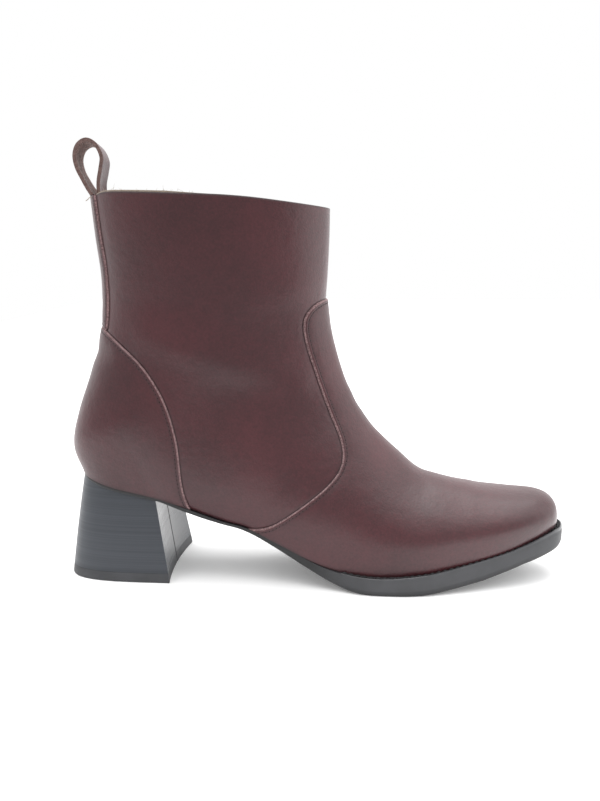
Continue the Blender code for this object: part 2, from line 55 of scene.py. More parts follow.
FOOT = [
    Section(217.3, 24.3, 217.3, 24.3, 0.0, 0.0, 0.0, 0.0, 0.45, 2.4, 2.0),
    Section(215.2, 23.8, 218.6, 31.5, 7.5, 8.0, 8.3, 8.8, 0.45, 2.4, 2.0),
    Section(209.5, 22.4, 216.9, 38.1, 13.2, 14.2, 14.5, 15.5, 0.44, 2.4, 2.0),
    Section(201.0, 19.9, 210.1, 41.5, 18.6, 20.1, 20.0, 21.5, 0.42, 2.3, 2.0),
    Section(187.0, 16.2, 197.0, 42.5, 24.6, 26.6, 26.0, 28.0, 0.40, 2.2, 2.0),
    Section(169.0, 12.5, 179.0, 44.3, 30.4, 31.9, 31.5, 33.0, 0.37, 2.1, 2.0),
    Section(149.0, 9.2, 160.5, 48.5, 35.1, 35.1, 36.0, 36.0, 0.34, 2.0, 2.0),
    Section(127.0, 8.1, 146.0, 54.6, 35.7, 33.2, 37.0, 35.0, 0.32, 1.9, 2.0),
    Section(103.0, 11.5, 135.2, 63.8, 32.0, 28.0, 35.0, 32.5, 0.33, 1.9, 2.0),
    Section(78.0, 21.8, 126.0, 72.8, 27.2, 23.2, 33.0, 31.0, 0.35, 1.9, 2.1),
    Section(63.0, 28.7, 122.1, 77.4, 25.9, 22.6, 32.2, 30.7, 0.36, 1.95, 2.15),
    Section(50.0, 32.0, 118.6, 82.0, 25.0, 22.5, 31.5, 30.5, 0.37, 2.0, 2.2),
    Section(20.0, 42.3, 113.6, 90.5, 25.5, 25.0, 31.0, 31.0, 0.39, 2.0, 2.3),
]
HEEL_ROW = len(FOOT) - 1
HeelEdge = namedtuple("HeelEdge", "x z lateral medial")
HEEL_EDGE = [
    HeelEdge(-3.0, 47.2, 24.2, 24.2),
    HeelEdge(-15.2, 50.0, 19.2, 19.2),
    HeelEdge(-20.6, 51.7, 12.0, 12.0),
    HeelEdge(-22.1, 52.6, 0.0, 0.0),
]
EDGE_END = HEEL_ROW + len(HEEL_EDGE)
LEG = [
    Section(-27.6, 66.0, 106.8, 108.0, 0.0, 0.0, 31.0, 31.0, 0.43, 2.0, 2.4),
    Section(-24.6, 84.0, 102.6, 124.5, 0.0, 0.0, 31.0, 31.0, 0.455, 2.05, 2.15),
    Section(-17.6, 105.0, 101.4, 139.0, 0.0, 0.0, 31.5, 31.5, 0.47, 2.1, 1.95),
    Section(-12.0, 128.0, 102.0, 151.0, 0.0, 0.0, 32.5, 32.5, 0.48, 2.2, 1.8),
    Section(-11.0, 150.0, 102.5, 163.0, 0.0, 0.0, 34.0, 34.0, 0.48, 2.2, 1.8),
    Section(-13.1, 171.5, 102.9, 174.5, 0.0, 0.0, 35.5, 35.5, 0.49, 2.2, 1.8, 0.7),
    Section(-15.2, 193.0, 103.1, 185.0, 0.0, 0.0, 36.5, 36.5, 0.49, 2.2, 1.8, 1.5),
]
COLLAR = HEEL_ROW + len(LEG)
BACK_DIP = 2.1           # the collar dips at the back seam, and swells a little over the ankle
BACK_DIP_LENGTH = 6.5
COLLAR_SWELL = 0.8
SWELL_MIDDLE = 62.0
SWELL_LENGTH = 24.0
BELLY_PLACE = 0.40       # across the leather, from the ridge at 0 to the back seam at 1
FEATHER_PLACE = 0.55
FULLEST_FOOT = 0.995     # a section's foot is at most this share of its belly's width
PLACE_STEP = 0.3         # the surface's slope is read over this much of a section's step
ACROSS_STEP = 0.03
NEAREST_TO_TOE = 0.15    # and no nearer to the toe's tip than this
TOE_CAP_END = 1.6        # up to here no layer dips below the feather edge


def cubic(before, start, end, after, part):
    """Smooth curve from start to end that heads the way of the points before and after them."""
    slope = end - before
    bend = 2 * before - 5 * start + 4 * end - after
    twist = 3 * (start - end) + after - before
    return start + 0.5 * part * (slope + part * (bend + part * twist))


def through(rows, place):
    """Smooth curve through rows that have one extra row at each end; place 0 is the second."""
    rows = np.asarray(rows, float)
    place = np.asarray(place, float)
    first = np.clip(np.floor(place).astype(int), 0, len(rows) - 4)
    part = (place - first)[..., None]
    return cubic(rows[first], rows[first + 1], rows[first + 2], rows[first + 3], part)


def run_on(rows):
    """Rows with an extra one at each end that carries straight on."""
    rows = np.asarray(rows, float)
    return np.vstack([2 * rows[0] - rows[1], rows, 2 * rows[-1] - rows[-2]])


def unit(vectors):
    return vectors / np.maximum(np.linalg.norm(vectors, axis=-1, keepdims=True), TINY)


SECTIONS = np.array(FOOT + LEG)
MIRROR = np.array([1, 1, -1, -1])
EDGE_ROWS = np.array(
    [(row.low_x, row.low_z, row.foot_lateral, row.foot_medial) for row in FOOT] + HEEL_EDGE
)
EDGE_ROWS = np.vstack([EDGE_ROWS[1] * MIRROR, EDGE_ROWS, EDGE_ROWS[-2] * MIRROR])


def feather_edge(place):
    """Edge where upper and sole meet, toe to back seam: x, z and the half width on either side."""
    return through(EDGE_ROWS, place)


def feather_points(place, across):
    x, z, lateral, medial = np.moveaxis(feather_edge(place), -1, 0)
    return np.stack(np.broadcast_arrays(x, np.where(across < 0, -lateral, medial), z), axis=-1)


def row_points(row, across):
    """Points of the sections themselves. row counts them from the toe to the collar."""
    (low_x, low_z, top_x, top_z, foot_lateral, foot_medial, wide_lateral, wide_medial,
     belly, crown, base, bow) = np.moveaxis(SECTIONS[row], -1, 0)
    share = np.abs(across)
    lateral = across < 0
    foot = np.where(lateral, foot_lateral, foot_medial)
    wide = np.maximum(np.where(lateral, wide_lateral, wide_medial), TINY)
    turn = np.clip(share / BELLY_PLACE, 0, 1) * np.pi / 2
    out_above = wide * np.sin(turn) ** (2 / crown)
    high_above = belly + (1 - belly) * np.clip(np.cos(turn), 0, 1) ** (2 / crown)
    row_end = np.where(row > HEEL_ROW, 1, FEATHER_PLACE)
    last_turn = np.arccos(np.clip(foot / wide, 0, FULLEST_FOOT) ** (base / 2))
    turn = np.clip((share - BELLY_PLACE) / (row_end - BELLY_PLACE), 0, 1) * last_turn
    out_below = wide * np.clip(np.cos(turn), 0, 1) ** (2 / base)
    high_below = belly - belly * (np.sin(turn) / np.sin(last_turn)) ** (2 / base)
    out = np.where(share <= BELLY_PLACE, out_above, out_below)
    high = np.where(share <= BELLY_PLACE, high_above, high_below)
    x = low_x + high * (top_x - low_x)
    dip = BACK_DIP * np.exp(-((x - low_x) / BACK_DIP_LENGTH) ** 2)
    swell = COLLAR_SWELL * np.exp(-((x - SWELL_MIDDLE) / SWELL_LENGTH) ** 2)
    z = low_z + high * (top_z - low_z) + bow * (out / wide) ** 2
    z = z + np.where(row == COLLAR, swell - dip, 0)
    points = np.stack([x, np.sign(across) * out, z], axis=-1)
    past_feather = (share - FEATHER_PLACE) / (1 - FEATHER_PLACE)
    round_heel = feather_points(HEEL_ROW + past_feather * len(HEEL_EDGE), across)
    return np.where(((row == HEEL_ROW) & (past_feather > 0))[..., None], round_heel, points)


def last_surface(place, across):
    """Points of the last. place counts the sections from the toe to the collar. across runs
    from the ridge at 0 to -1 on the lateral side and 1 on the medial one. Before the heel the
    sides end at the feather place, and from there on they meet at the back seam."""
    place, across = np.broadcast_arrays(np.asarray(place, float), np.asarray(across, float))
    first = np.clip(np.floor(place).astype(int), 0, COLLAR - 1)
    start = row_points(first, across)
    end = row_points(first + 1, across)
    before = row_points(np.maximum(first - 1, 0), across)
    after = row_points(np.minimum(first + 2, COLLAR), across)
    at_toe = (first == 0)[..., None]
    at_collar = (first == COLLAR - 1)[..., None]
    to_heel = (first == HEEL_ROW - 1)[..., None]
    from_heel = (first == HEEL_ROW)[..., None]
    low = np.clip((np.abs(across) - BELLY_PLACE) / (FEATHER_PLACE - BELLY_PLACE), 0, 1)[..., None]
    edge_step = feather_points(HEEL_ROW + 1, across) - feather_points(HEEL_ROW, across)
    round_toe = np.array([1, -1, -1]) * end + np.array([0, 0, 2]) * start
    before = np.where(at_toe, round_toe, before)
    before = np.where(from_heel, before + low * (2 * start - end - before), before)
    after = np.where(to_heel, after + low * (end + edge_step - after), after)
    after = np.where(at_collar, 2 * end - start, after)
    return cubic(before, start, end, after, (place - first)[..., None])


def is_on_feather(place, across):
    return (np.abs(across) > FEATHER_PLACE - TINY) & (place < HEEL_ROW + TINY)


def outward(place, across):
    """Outward direction: level along the feather edge and in the collar's own plane there."""
    place = np.asarray(place, float)
    across = np.asarray(across, float)
    at = np.maximum(place, NEAREST_TO_TOE)
    first_place = np.where(np.abs(across) > FEATHER_PLACE + TINY, HEEL_ROW, 0)
    last_across = np.where(place < HEEL_ROW - TINY, FEATHER_PLACE, 1)
    ahead = last_surface(np.minimum(at + PLACE_STEP, COLLAR), across)
    behind = last_surface(np.maximum(at - PLACE_STEP, first_place), across)
    right = last_surface(at, np.minimum(across + ACROSS_STEP, last_across))
    left = last_surface(at, np.maximum(across - ACROSS_STEP, -last_across))
    direction = unit(np.cross(right - left, ahead - behind))
    at_tip = place < NEAREST_TO_TOE
    at_seam = np.abs(across) > 1 - TINY
    direction[..., 1] = np.where(at_tip | at_seam, 0, direction[..., 1])
    direction[..., 2] = np.where(at_tip | is_on_feather(place, across), 0, direction[..., 2])
    no_lower = np.maximum(direction[..., 2], 0)
    direction[..., 2] = np.where(place < TOE_CAP_END, no_lower, direction[..., 2])
    collar = LEG[-1]
    collar_up = unit(np.array([collar.low_z - collar.top_z, 0, collar.top_x - collar.low_x]))
    lift = np.sum(direction * collar_up, axis=-1, keepdims=True) * collar_up
    direction = np.where((place > COLLAR - TINY)[..., None], direction - lift, direction)
    return unit(direction)


FEATHER_SAMPLE_COUNT = 600
FEATHER_SAMPLES = feather_edge(np.linspace(EDGE_END, 0, FEATHER_SAMPLE_COUNT))


def feather_height(x):
    return np.interp(x, FEATHER_SAMPLES[:, 0], FEATHER_SAMPLES[:, 1])


# Soft bends in the leather, seen from the side: a run from start to end, its height (below zero
# for a trough), its half width, and the side it is on (-1 lateral, 1 medial, 0 both)
Crease = namedtuple("Crease", "start_x start_z end_x end_z height width side")
CREASES = [
    Crease(16.0, 125.5, 88.0, 101.5, 1.7, 9.5, -1),
    Crease(12.0, 101.0, 70.0, 80.0, -0.2, 12.0, -1),
    Crease(14.0, 122.0, 84.0, 99.0, 0.7, 12.0, 1),
    Crease(-20.0, 114.0, -8.0, 114.0, -1.0, 5.0, 0),
    Crease(114.0, 92.0, 120.0, 83.0, 0.6, 5.0, 0),
    Crease(140.5, 61.5, 142.0, 56.0, 0.4, 4.5, 0),
    Crease(151.0, 54.5, 152.0, 50.0, -0.4, 4.5, 0),
    Crease(156.0, 52.0, 176.0, 45.0, 0.35, 2.6, -1),
    Crease(156.0, 52.0, 176.0, 45.0, 0.35, 2.6, 1),
    Crease(150.0, 44.0, 168.0, 40.5, -0.3, 4.0, 0),
    Crease(141.0, 50.0, 150.0, 33.0, -0.3, 4.5, 0),
    Crease(30.0, 178.0, 62.0, 150.0, 0.35, 14.0, 0),
]
SIDE_BLEND = 5.0
FEATHER_FADE = 9.0
Wave = namedtuple("Wave", "along_x along_y along_z height")
WAVES = [
    Wave(0.075, 0.11, 0.062, 0.16),
    Wave(-0.052, 0.09, 0.118, 0.13),
    Wave(0.131, -0.07, -0.045, 0.10),
]


def relief(points):
    """How far the leather stands out of the last's surface at its bends, in millimetres."""
    total = np.zeros(points.shape[:-1])
    for wave in WAVES:
        turn = points @ np.array([wave.along_x, wave.along_y, wave.along_z])
        total = total + wave.height * np.sin(turn)
    for crease in CREASES:
        start = np.array([crease.start_x, crease.start_z])
        run = np.array([crease.end_x, crease.end_z]) - start
        away = points[..., [0, 2]] - start
        share = np.clip(away @ run / (run @ run), 0, 1)
        distance = np.linalg.norm(away - share[..., None] * run, axis=-1)
        side = 1 / (1 + np.exp(-2 * crease.side * points[..., 1] / SIDE_BLEND))
        side = np.where(crease.side == 0, 1, side)
        total = total + crease.height * side * np.exp(-(distance / crease.width) ** 2)
    above_feather = points[..., 2] - feather_height(points[..., 0])
    return total * np.clip(above_feather / FEATHER_FADE, 0, 1)


def skin(place, across, distance):
    """Surface that lies a distance outside the last and its bends, standing on the feather edge."""
    points = last_surface(place, across)
    offset = distance + relief(points)
    points = points + offset[..., None] * outward(place, across)
    on_feather = is_on_feather(place, across)
    points[..., 2] = np.where(on_feather, feather_height(points[..., 0]), points[..., 2])
    return points


def evenly(start, end, steps):
    """Places from start to end, without the start."""
    return np.linspace(start, end, steps + 1)[1:]


COLLAR_ROWS = (0.93, 0.965, 0.985, 1.0)   # shares of the last step, close together at the rim
SheetSteps = namedtuple("SheetSteps", "section heel above below round_heel")
FINE_SHEET = SheetSteps(8, 20, 26, 16, 24)


def last_sheet(steps):
    """Sheet of cells over the whole last: corner numbers of each cell, and places and acrosses."""
    places = np.concatenate([
        [0],
        evenly(0, HEEL_ROW, HEEL_ROW * steps.section),
        evenly(HEEL_ROW, HEEL_ROW + 1, steps.heel),
        evenly(HEEL_ROW + 1, COLLAR - 1, (COLLAR - HEEL_ROW - 2) * steps.section),
        COLLAR - 1 + evenly(0, 1, steps.section)[:-1],
        COLLAR - 1 + np.array(COLLAR_ROWS),
    ])
    half = np.concatenate([
        evenly(0, BELLY_PLACE, steps.above),
        evenly(BELLY_PLACE, FEATHER_PLACE, steps.below),
        evenly(FEATHER_PLACE, 1, steps.round_heel),
    ])
    acrosses = np.concatenate([-half[::-1], [0], half])
    numbers = np.arange(len(places) * len(acrosses)).reshape(len(places), len(acrosses))
    numbers[0, :] = numbers[0, len(half)]
    at_heel = places > HEEL_ROW - TINY
    numbers[at_heel, -1] = numbers[at_heel, 0]
    cells = []
    for row in range(len(places) - 1):
        for column in range(len(acrosses) - 1):
            outer_across = max(abs(acrosses[column]), abs(acrosses[column + 1]))
            if at_heel[row] or outer_across < FEATHER_PLACE + TINY:
                corners = [numbers[row, column], numbers[row, column + 1],
                           numbers[row + 1, column + 1], numbers[row + 1, column]]
                cells.append([int(corner) for corner in dict.fromkeys(corners)])
    place_of, across_of = np.meshgrid(places, acrosses, indexing="ij")
    return cells, place_of.ravel(), across_of.ravel()


def same_side(start, end):
    """Two acrosses of one cell, where the back seam counts to the side of the other one."""
    if abs(start - end) <= 1:
        return start, end
    if abs(start) > abs(end):
        return -start, end
    return start, -end


SNAP = 0.08              # corners this near to a cutting line count as on it


def split_sheet(sheet, field, level):
    """Cuts the cells of a sheet along the line where the field reaches a level."""
    cells, places, acrosses = sheet
    values = field(places, acrosses) - level
    values[np.abs(values) < SNAP] = 0
    values = values.tolist()
    places = places.tolist()
    acrosses = acrosses.tolist()
    crossings = {}
    parts = []
    for cell in cells:
        cell_values = [values[corner] for corner in cell]
        if max(cell_values) <= 0 or min(cell_values) >= 0:
            parts.append(cell)
            continue
        over = []
        under = []
        for start, end in zip(cell, cell[1:] + cell[:1]):
            if values[start] >= 0:
                over.append(start)
            if values[start] <= 0:
                under.append(start)
            if values[start] * values[end] < 0:
                key = (min(start, end), max(start, end))
                if key not in crossings:
                    share = values[start] / (values[start] - values[end])
                    start_across, end_across = same_side(acrosses[start], acrosses[end])
                    crossings[key] = len(places)
                    places.append(places[start] + share * (places[end] - places[start]))
                    acrosses.append(start_across + share * (end_across - start_across))
                over.append(crossings[key])
                under.append(crossings[key])
        parts += [over, under]
    return parts, np.array(places), np.array(acrosses)


def thick_sheet(cells, outer, inner):
    """Closed solid between two layers of the same cells: its outer cells come first, then its
    inner ones, and then the walls along the open edges."""
    used = sorted({number for cell in cells for number in cell})
    renumber = {number: index for index, number in enumerate(used)}
    count = len(used)
    faces = [[renumber[number] for number in cell] for cell in cells]
    open_edges = {}
    for face in faces:
        for start, end in zip(face, face[1:] + face[:1]):
            if (end, start) in open_edges:
                del open_edges[(end, start)]
            else:
                open_edges[(start, end)] = True
    inner_faces = [[count + index for index in reversed(face)] for face in faces]
    walls = [[end, start, count + start, count + end] for start, end in open_edges]
    return np.vstack([outer[used], inner[used]]), faces + inner_faces + walls, used


SeamPoint = namedtuple("SeamPoint", "x z")
VAMP_SEAM = [
    SeamPoint(110.0, 141.5),
    SeamPoint(102.0, 141.0),
    SeamPoint(96.0, 138.5),
    SeamPoint(91.4, 132.5),
    SeamPoint(91.4, 123.0),
    SeamPoint(96.2, 106.0),
    SeamPoint(104.0, 86.0),
    SeamPoint(110.0, 71.0),
    SeamPoint(110.0, 61.0),
    SeamPoint(104.0, 52.5),
    SeamPoint(92.0, 42.4),
    SeamPoint(80.0, 33.4),
    SeamPoint(74.5, 30.2),
    SeamPoint(69.0, 28.6),
    SeamPoint(63.0, 28.3),
    SeamPoint(52.0, 28.6),
]
COUNTER_SEAM = [
    SeamPoint(-24.0, 130.0),
    SeamPoint(-12.0, 126.8),
    SeamPoint(1.0, 119.5),
    SeamPoint(14.0, 109.0),
    SeamPoint(24.0, 93.5),
    SeamPoint(29.8, 73.5),
    SeamPoint(31.7, 52.0),
    SeamPoint(33.6, 42.0),
    SeamPoint(37.0, 32.0),
]
POINTS_PER_SEAM_STEP = 8
STRIP_HALF_WIDTH = 12.0


def beside_seam(points, seam):
    """Distance from a seam seen from the side, above zero on the left of its run."""
    steps = np.linspace(0, len(seam) - 1, (len(seam) - 1) * POINTS_PER_SEAM_STEP + 1)
    line = through(run_on(seam), steps)
    start, run = line[:-1], np.diff(line, axis=0)
    away = points[:, None, [0, 2]] - start
    share = np.clip(np.sum(away * run, axis=-1) / np.sum(run * run, axis=-1), 0, 1)
    offset = away - share[..., None] * run
    distance = np.linalg.norm(offset, axis=-1)
    nearest = np.argmin(distance, axis=1)
    every = np.arange(len(points))
    side = run[nearest, 0] * offset[every, nearest, 1] - run[nearest, 1] * offset[every, nearest, 0]
    return np.copysign(distance[every, nearest], side)


def inside_vamp(place, across):
    return beside_seam(last_surface(place, across), VAMP_SEAM)


def inside_counter(place, across):
    return -beside_seam(last_surface(place, across), COUNTER_SEAM)


def inside_strip(place, across):
    points = last_surface(place, across)
    at_back = (np.abs(across) > BELLY_PLACE) & (points[:, 0] < 0)
    near_seam = np.where(at_back, STRIP_HALF_WIDTH - np.abs(points[:, 1]), -STRIP_HALF_WIDTH)
    return np.minimum(near_seam, beside_seam(points, COUNTER_SEAM))


COLOUR_INPUTS = (6, 7)   # sockets of a mix node that take and give colours
COLOUR_OUTPUT = 2


def add_node(tree, kind, inputs=None, **settings):
    """New node with its settings, and its inputs set, or linked where a socket is given."""
    made = tree.nodes.new(kind)
    for key, value in settings.items():
        setattr(made, key, value)
    for key, value in (inputs or {}).items():
        if isinstance(value, bpy.types.NodeSocket):
            tree.links.new(value, made.inputs[key])
        else:
            made.inputs[key].default_value = value
    return made


def maths(tree, operation, first, second=0.0):
    return add_node(tree, "ShaderNodeMath", {0: first, 1: second}, operation=operation).outputs[0]


def added(tree, terms):
    """Sum of values, each times its share."""
    total = maths(tree, "MULTIPLY", *terms[0])
    for term in terms[1:]:
        total = maths(tree, "ADD", total, maths(tree, "MULTIPLY", *term))
    return total


def mix_colours(tree, share, first, second):
    inputs = {"Factor": share, COLOUR_INPUTS[0]: first, COLOUR_INPUTS[1]: second}
    return add_node(tree, "ShaderNodeMix", inputs, data_type="RGBA").outputs[COLOUR_OUTPUT]


def fit_range(tree, value, old, new=(0.0, 1.0)):
    """Value with its old range, low and high, fitted softly to a new one."""
    inputs = {"Value": value, "From Min": old[0], "From Max": old[1], "To Min": new[0], "To Max": new[1]}
    return add_node(tree, "ShaderNodeMapRange", inputs, interpolation_type="SMOOTHSTEP").outputs[0]


def noise(tree, place, scale, detail):
    inputs = {"Vector": place, "Scale": scale, "Detail": detail}
    return add_node(tree, "ShaderNodeTexNoise", inputs).outputs["Fac"]


def stretched(tree, scales=(1, 1, 1), turn=0.0):
    """Place on the piece in metres, turned in the side view, then stretched along each axis."""
    place = add_node(tree, "ShaderNodeTexCoord").outputs["Object"]
    turned = add_node(tree, "ShaderNodeMapping", {"Vector": place, "Rotation": (0, turn, 0)}).outputs[0]
    return add_node(tree, "ShaderNodeMapping", {"Vector": turned, "Scale": scales}).outputs[0]


def new_group(name, inputs):
    """Node group with number inputs, and the sockets that give them inside it."""
    group = bpy.data.node_groups.new(name, "ShaderNodeTree")
    for socket in inputs:
        group.interface.new_socket(name=socket, in_out="INPUT", socket_type="NodeSocketFloat")
    return group, group.nodes.new("NodeGroupInput").outputs


def end_group(group, results):
    """Gives the group its number outputs, each linked to its result."""
    for socket in results:
        group.interface.new_socket(name=socket, in_out="OUTPUT", socket_type="NodeSocketFloat")
    add_node(group, "NodeGroupOutput", results)


# grain: pebbles and fine pores of finished leather, and the cloudy tone of its dye. The scales
# count the marks in a metre, and the shares say how much each kind adds.
PEBBLE_SCALE = 1150.0
PORE_SCALE = 2600.0
WIDE_CLOUD_SCALE = 26.0
FINE_CLOUD_SCALE = 210.0
MOTTLE_SCALE = 900.0
PORE_HEIGHT = 0.55
WIDE_CLOUD_SHARE = 0.45
FINE_CLOUD_SHARE = 0.15
MOTTLE_SHARE = 0.40
grain_group, grain_inputs = new_group("leather grain", ["Unevenness"])
grain_place = stretched(grain_group)
pebble = add_node(grain_group, "ShaderNodeTexVoronoi", {"Vector": grain_place, "Scale": PEBBLE_SCALE},
                  feature="SMOOTH_F1").outputs["Distance"]
pore = noise(grain_group, grain_place, PORE_SCALE, detail=2.0)
wide_cloud = noise(grain_group, grain_place, WIDE_CLOUD_SCALE, detail=1.5)
fine_cloud = noise(grain_group, grain_place, FINE_CLOUD_SCALE, detail=3.0)
mottle = noise(grain_group, grain_place, MOTTLE_SCALE, detail=2.0)
grain_height = added(grain_group, [
    (pebble, 1.0), (pore, PORE_HEIGHT), (fine_cloud, grain_inputs["Unevenness"]),
])
cloud = added(grain_group, [
    (wide_cloud, WIDE_CLOUD_SHARE), (fine_cloud, FINE_CLOUD_SHARE), (mottle, MOTTLE_SHARE),
])
end_group(grain_group, {"Height": grain_height, "Cloud": cloud, "Pore": pore})

# wrinkles: short fine lines that the leather got where it was pulled in at the instep seam, and
# upright ones where the vamp bends over the toes
WrinkleLines = namedtuple("WrinkleLines", "scales turn")
INSTEP_LINES = WrinkleLines((70, 70, 640), np.radians(20))
FLEX_LINES = WrinkleLines((620, 80, 70), np.radians(-8))
WRINKLE_HEIGHT = 1.6     # next to the grain's own height
wrinkle_group, wrinkle_inputs = new_group("leather wrinkles", ["Instep", "Flex"])
wrinkle_terms = []
for wrinkle_kind, lines in (("Instep", INSTEP_LINES), ("Flex", FLEX_LINES)):
    wrinkle = noise(wrinkle_group, stretched(wrinkle_group, *lines), 1.0, detail=2.0)
    wrinkle_high = maths(wrinkle_group, "MULTIPLY", wrinkle, WRINKLE_HEIGHT)
    wrinkle_terms.append((wrinkle_high, wrinkle_inputs[wrinkle_kind]))
end_group(wrinkle_group, {"Height": added(wrinkle_group, wrinkle_terms)})


def new_material(name, **constants):
    """Material with a Principled shader whose plain values are set on its own sockets."""
    material = bpy.data.materials.new(name)
    material.use_nodes = True
    shader = material.node_tree.nodes["Principled BSDF"]
    for key, value in constants.items():
        shader.inputs[key.replace("_", " ")].default_value = value
    return material, material.node_tree, shader


def place_group(tree, group, inputs=None):
    return add_node(tree, "ShaderNodeGroup", inputs, node_tree=group).outputs


def mask(tree, name):
    """Number per point of the piece, by its name; zero where the piece has none."""
    return add_node(tree, "ShaderNodeAttribute", attribute_name=name).outputs["Fac"]


def bump(tree, shader, height, strength, distance):
    made = add_node(tree, "ShaderNodeBump", {"Height": height, "Strength": strength, "Distance": distance})
    tree.links.new(made.outputs[0], shader.inputs["Normal"])


NOISE_MIDDLE = (0.3, 0.7)   # most of a noise lies in this range
UNEVENNESS = 5.0
POLISH = 0.45            # more coat where the polish mask says
SHADE_ROUGHNESS = 0.35   # and rougher where the shade mask says
LEATHER_BUMP = 0.16
LEATHER_BUMP_HEIGHT = 0.0004


def leather_material(name, dark, light, shaded, roughness, coat):
    """Finished leather: cloudy dye, darker where the shade mask says (painted shade, and dark edge dye at
    the collar's rim), grain and wrinkles as bump.
    roughness is its lowest and its highest."""
    material, tree, shader = new_material(name, Coat_Roughness=0.3, Coat_IOR=1.45,
                                          Sheen_Weight=0.06, Sheen_Roughness=0.35)
    polished = maths(tree, "MULTIPLY", mask(tree, "polish"), POLISH)
    tree.links.new(maths(tree, "ADD", polished, coat), shader.inputs["Coat Weight"])
    grain = place_group(tree, grain_group, {"Unevenness": UNEVENNESS})
    dyed = mix_colours(tree, fit_range(tree, grain["Cloud"], NOISE_MIDDLE), dark, light)
    shade = mask(tree, "shade")
    tree.links.new(mix_colours(tree, shade, dyed, shaded), shader.inputs["Base Color"])
    rough = fit_range(tree, grain["Pore"], NOISE_MIDDLE, roughness)
    rough = maths(tree, "ADD", rough, maths(tree, "MULTIPLY", shade, SHADE_ROUGHNESS))
    tree.links.new(rough, shader.inputs["Roughness"])
    wrinkle_masks = {"Instep": mask(tree, "instep"), "Flex": mask(tree, "flex")}
    wrinkles = place_group(tree, wrinkle_group, wrinkle_masks)
    height = maths(tree, "ADD", grain["Height"], wrinkles["Height"])
    bump(tree, shader, height, LEATHER_BUMP, LEATHER_BUMP_HEIGHT)
    return material


SMOOTH_BELOW = np.radians(42)


def add_piece(name, points, faces, materials, slot, replaced=None, face_materials=None, masks=None):
    """Mesh piece in the boot's frame, smooth but for its sharp edges, riding on the boot. Each
    mask is a number per point that the materials read by its name."""
    mesh = bpy.data.meshes.new(name)
    mesh.from_pydata((np.asarray(points) * MILLIMETRE).tolist(), [], faces)
    for material in materials:
        mesh.materials.append(material)
    if face_materials is not None:
        mesh.polygons.foreach_set("material_index", np.asarray(face_materials, np.int32))
    for mask_name, numbers in (masks or {}).items():
        values = np.zeros(len(points), np.float32)
        values[: len(numbers)] = numbers
        mesh.attributes.new(mask_name, "FLOAT", "POINT").data.foreach_set("value", values)
    mesh.update()
    mesh.shade_smooth()
    mesh.set_sharp_from_angle(angle=SMOOTH_BELOW)
    piece = bpy.data.objects.new(name, mesh)
    bpy.context.scene.collection.objects.link(piece)
    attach(piece, "root")
    if replaced:
        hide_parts(replaced)
    return piece


BURGUNDY_DARK = (0.036, 0.0068, 0.0094, 1)
BURGUNDY_LIGHT = (0.069, 0.0129, 0.0172, 1)
# the shade mask's colour: painted shade in grooves, along stitch rows and where the leather turns under
# the boot; along the collar's rim it is the edge's dark dye
SEAM_SHADE = (0.024, 0.0135, 0.015, 1)
EDGE_DYE = (0.030, 0.016, 0.016, 1)
BURGUNDY_ROUGHNESS = (0.37, 0.48)
BURGUNDY_COAT = 0.22
burgundy = leather_material("burgundy leather", BURGUNDY_DARK, BURGUNDY_LIGHT, SEAM_SHADE,
                            BURGUNDY_ROUGHNESS, BURGUNDY_COAT)
dyed_edge, _, _ = new_material("dyed cut edge", Base_Color=EDGE_DYE, Roughness=0.65)

LEATHER_THICKNESS = 1.0
SEAM_GROOVE = 0.2        # the quarter is drawn in beside an overlay's edge
GROOVE_MIDDLE = -0.28
GROOVE_WIDTH = 0.34
# painted shade: the quarter's colour is darkened along that groove
GROOVE_SHADE = 0.6
GROOVE_LEVELS = (-0.9, -0.55, -0.28)
STEP_HEIGHT = 21.0       # of the last step below the collar
RIM_ROUNDING = [(0.0, -0.45), (0.35, -0.15), (0.8, -0.03), (1.5, 0.0)]
RIM_SHADE_HEIGHT = 1.3
FEATHER_SHADE = 0.8      # painted shade: the leather's colour is darkened where it turns in under the boot
FEATHER_SHADE_HEIGHT = 1.3


def feather_shade(points):
    above = points[:, 2] - feather_height(points[:, 0])
    return FEATHER_SHADE * np.clip(1 - above / FEATHER_SHADE_HEIGHT, 0, 1)


upper_sheet = last_sheet(FINE_SHEET)
for seam_field in (inside_vamp, inside_counter, inside_strip):
    for groove_level in GROOVE_LEVELS:
        upper_sheet = split_sheet(upper_sheet, seam_field, groove_level)
upper_cells, upper_places, upper_acrosses = upper_sheet
groove = np.zeros(len(upper_places))
for seam_field in (inside_vamp, inside_counter, inside_strip):
    beyond = (seam_field(upper_places, upper_acrosses) - GROOVE_MIDDLE) / GROOVE_WIDTH
    groove = np.maximum(groove, np.exp(-beyond ** 2))
below_rim = (COLLAR - upper_places) * STEP_HEIGHT
rim_distance, rim_inset = np.transpose(RIM_ROUNDING)
rim = np.interp(below_rim, rim_distance, rim_inset)
upper_points, upper_faces, upper_used = thick_sheet(
    upper_cells,
    skin(upper_places, upper_acrosses, rim - SEAM_GROOVE * groove),
    skin(upper_places, upper_acrosses, np.full(len(upper_places), -LEATHER_THICKNESS)),
)
rim_shade = np.clip(1 - below_rim / RIM_SHADE_HEIGHT, 0, 1)
upper_shade = np.maximum(GROOVE_SHADE * groove, rim_shade)[upper_used]
upper_shade = np.maximum(upper_shade, feather_shade(upper_points[: len(upper_used)]))
upper_wall_start = 2 * len(upper_cells)
add_piece(
    "upper", upper_points, upper_faces, [burgundy, dyed_edge], "leather", "upper",
    face_materials=(np.arange(len(upper_faces)) >= upper_wall_start).astype(int),
    masks={"shade": upper_shade},
)

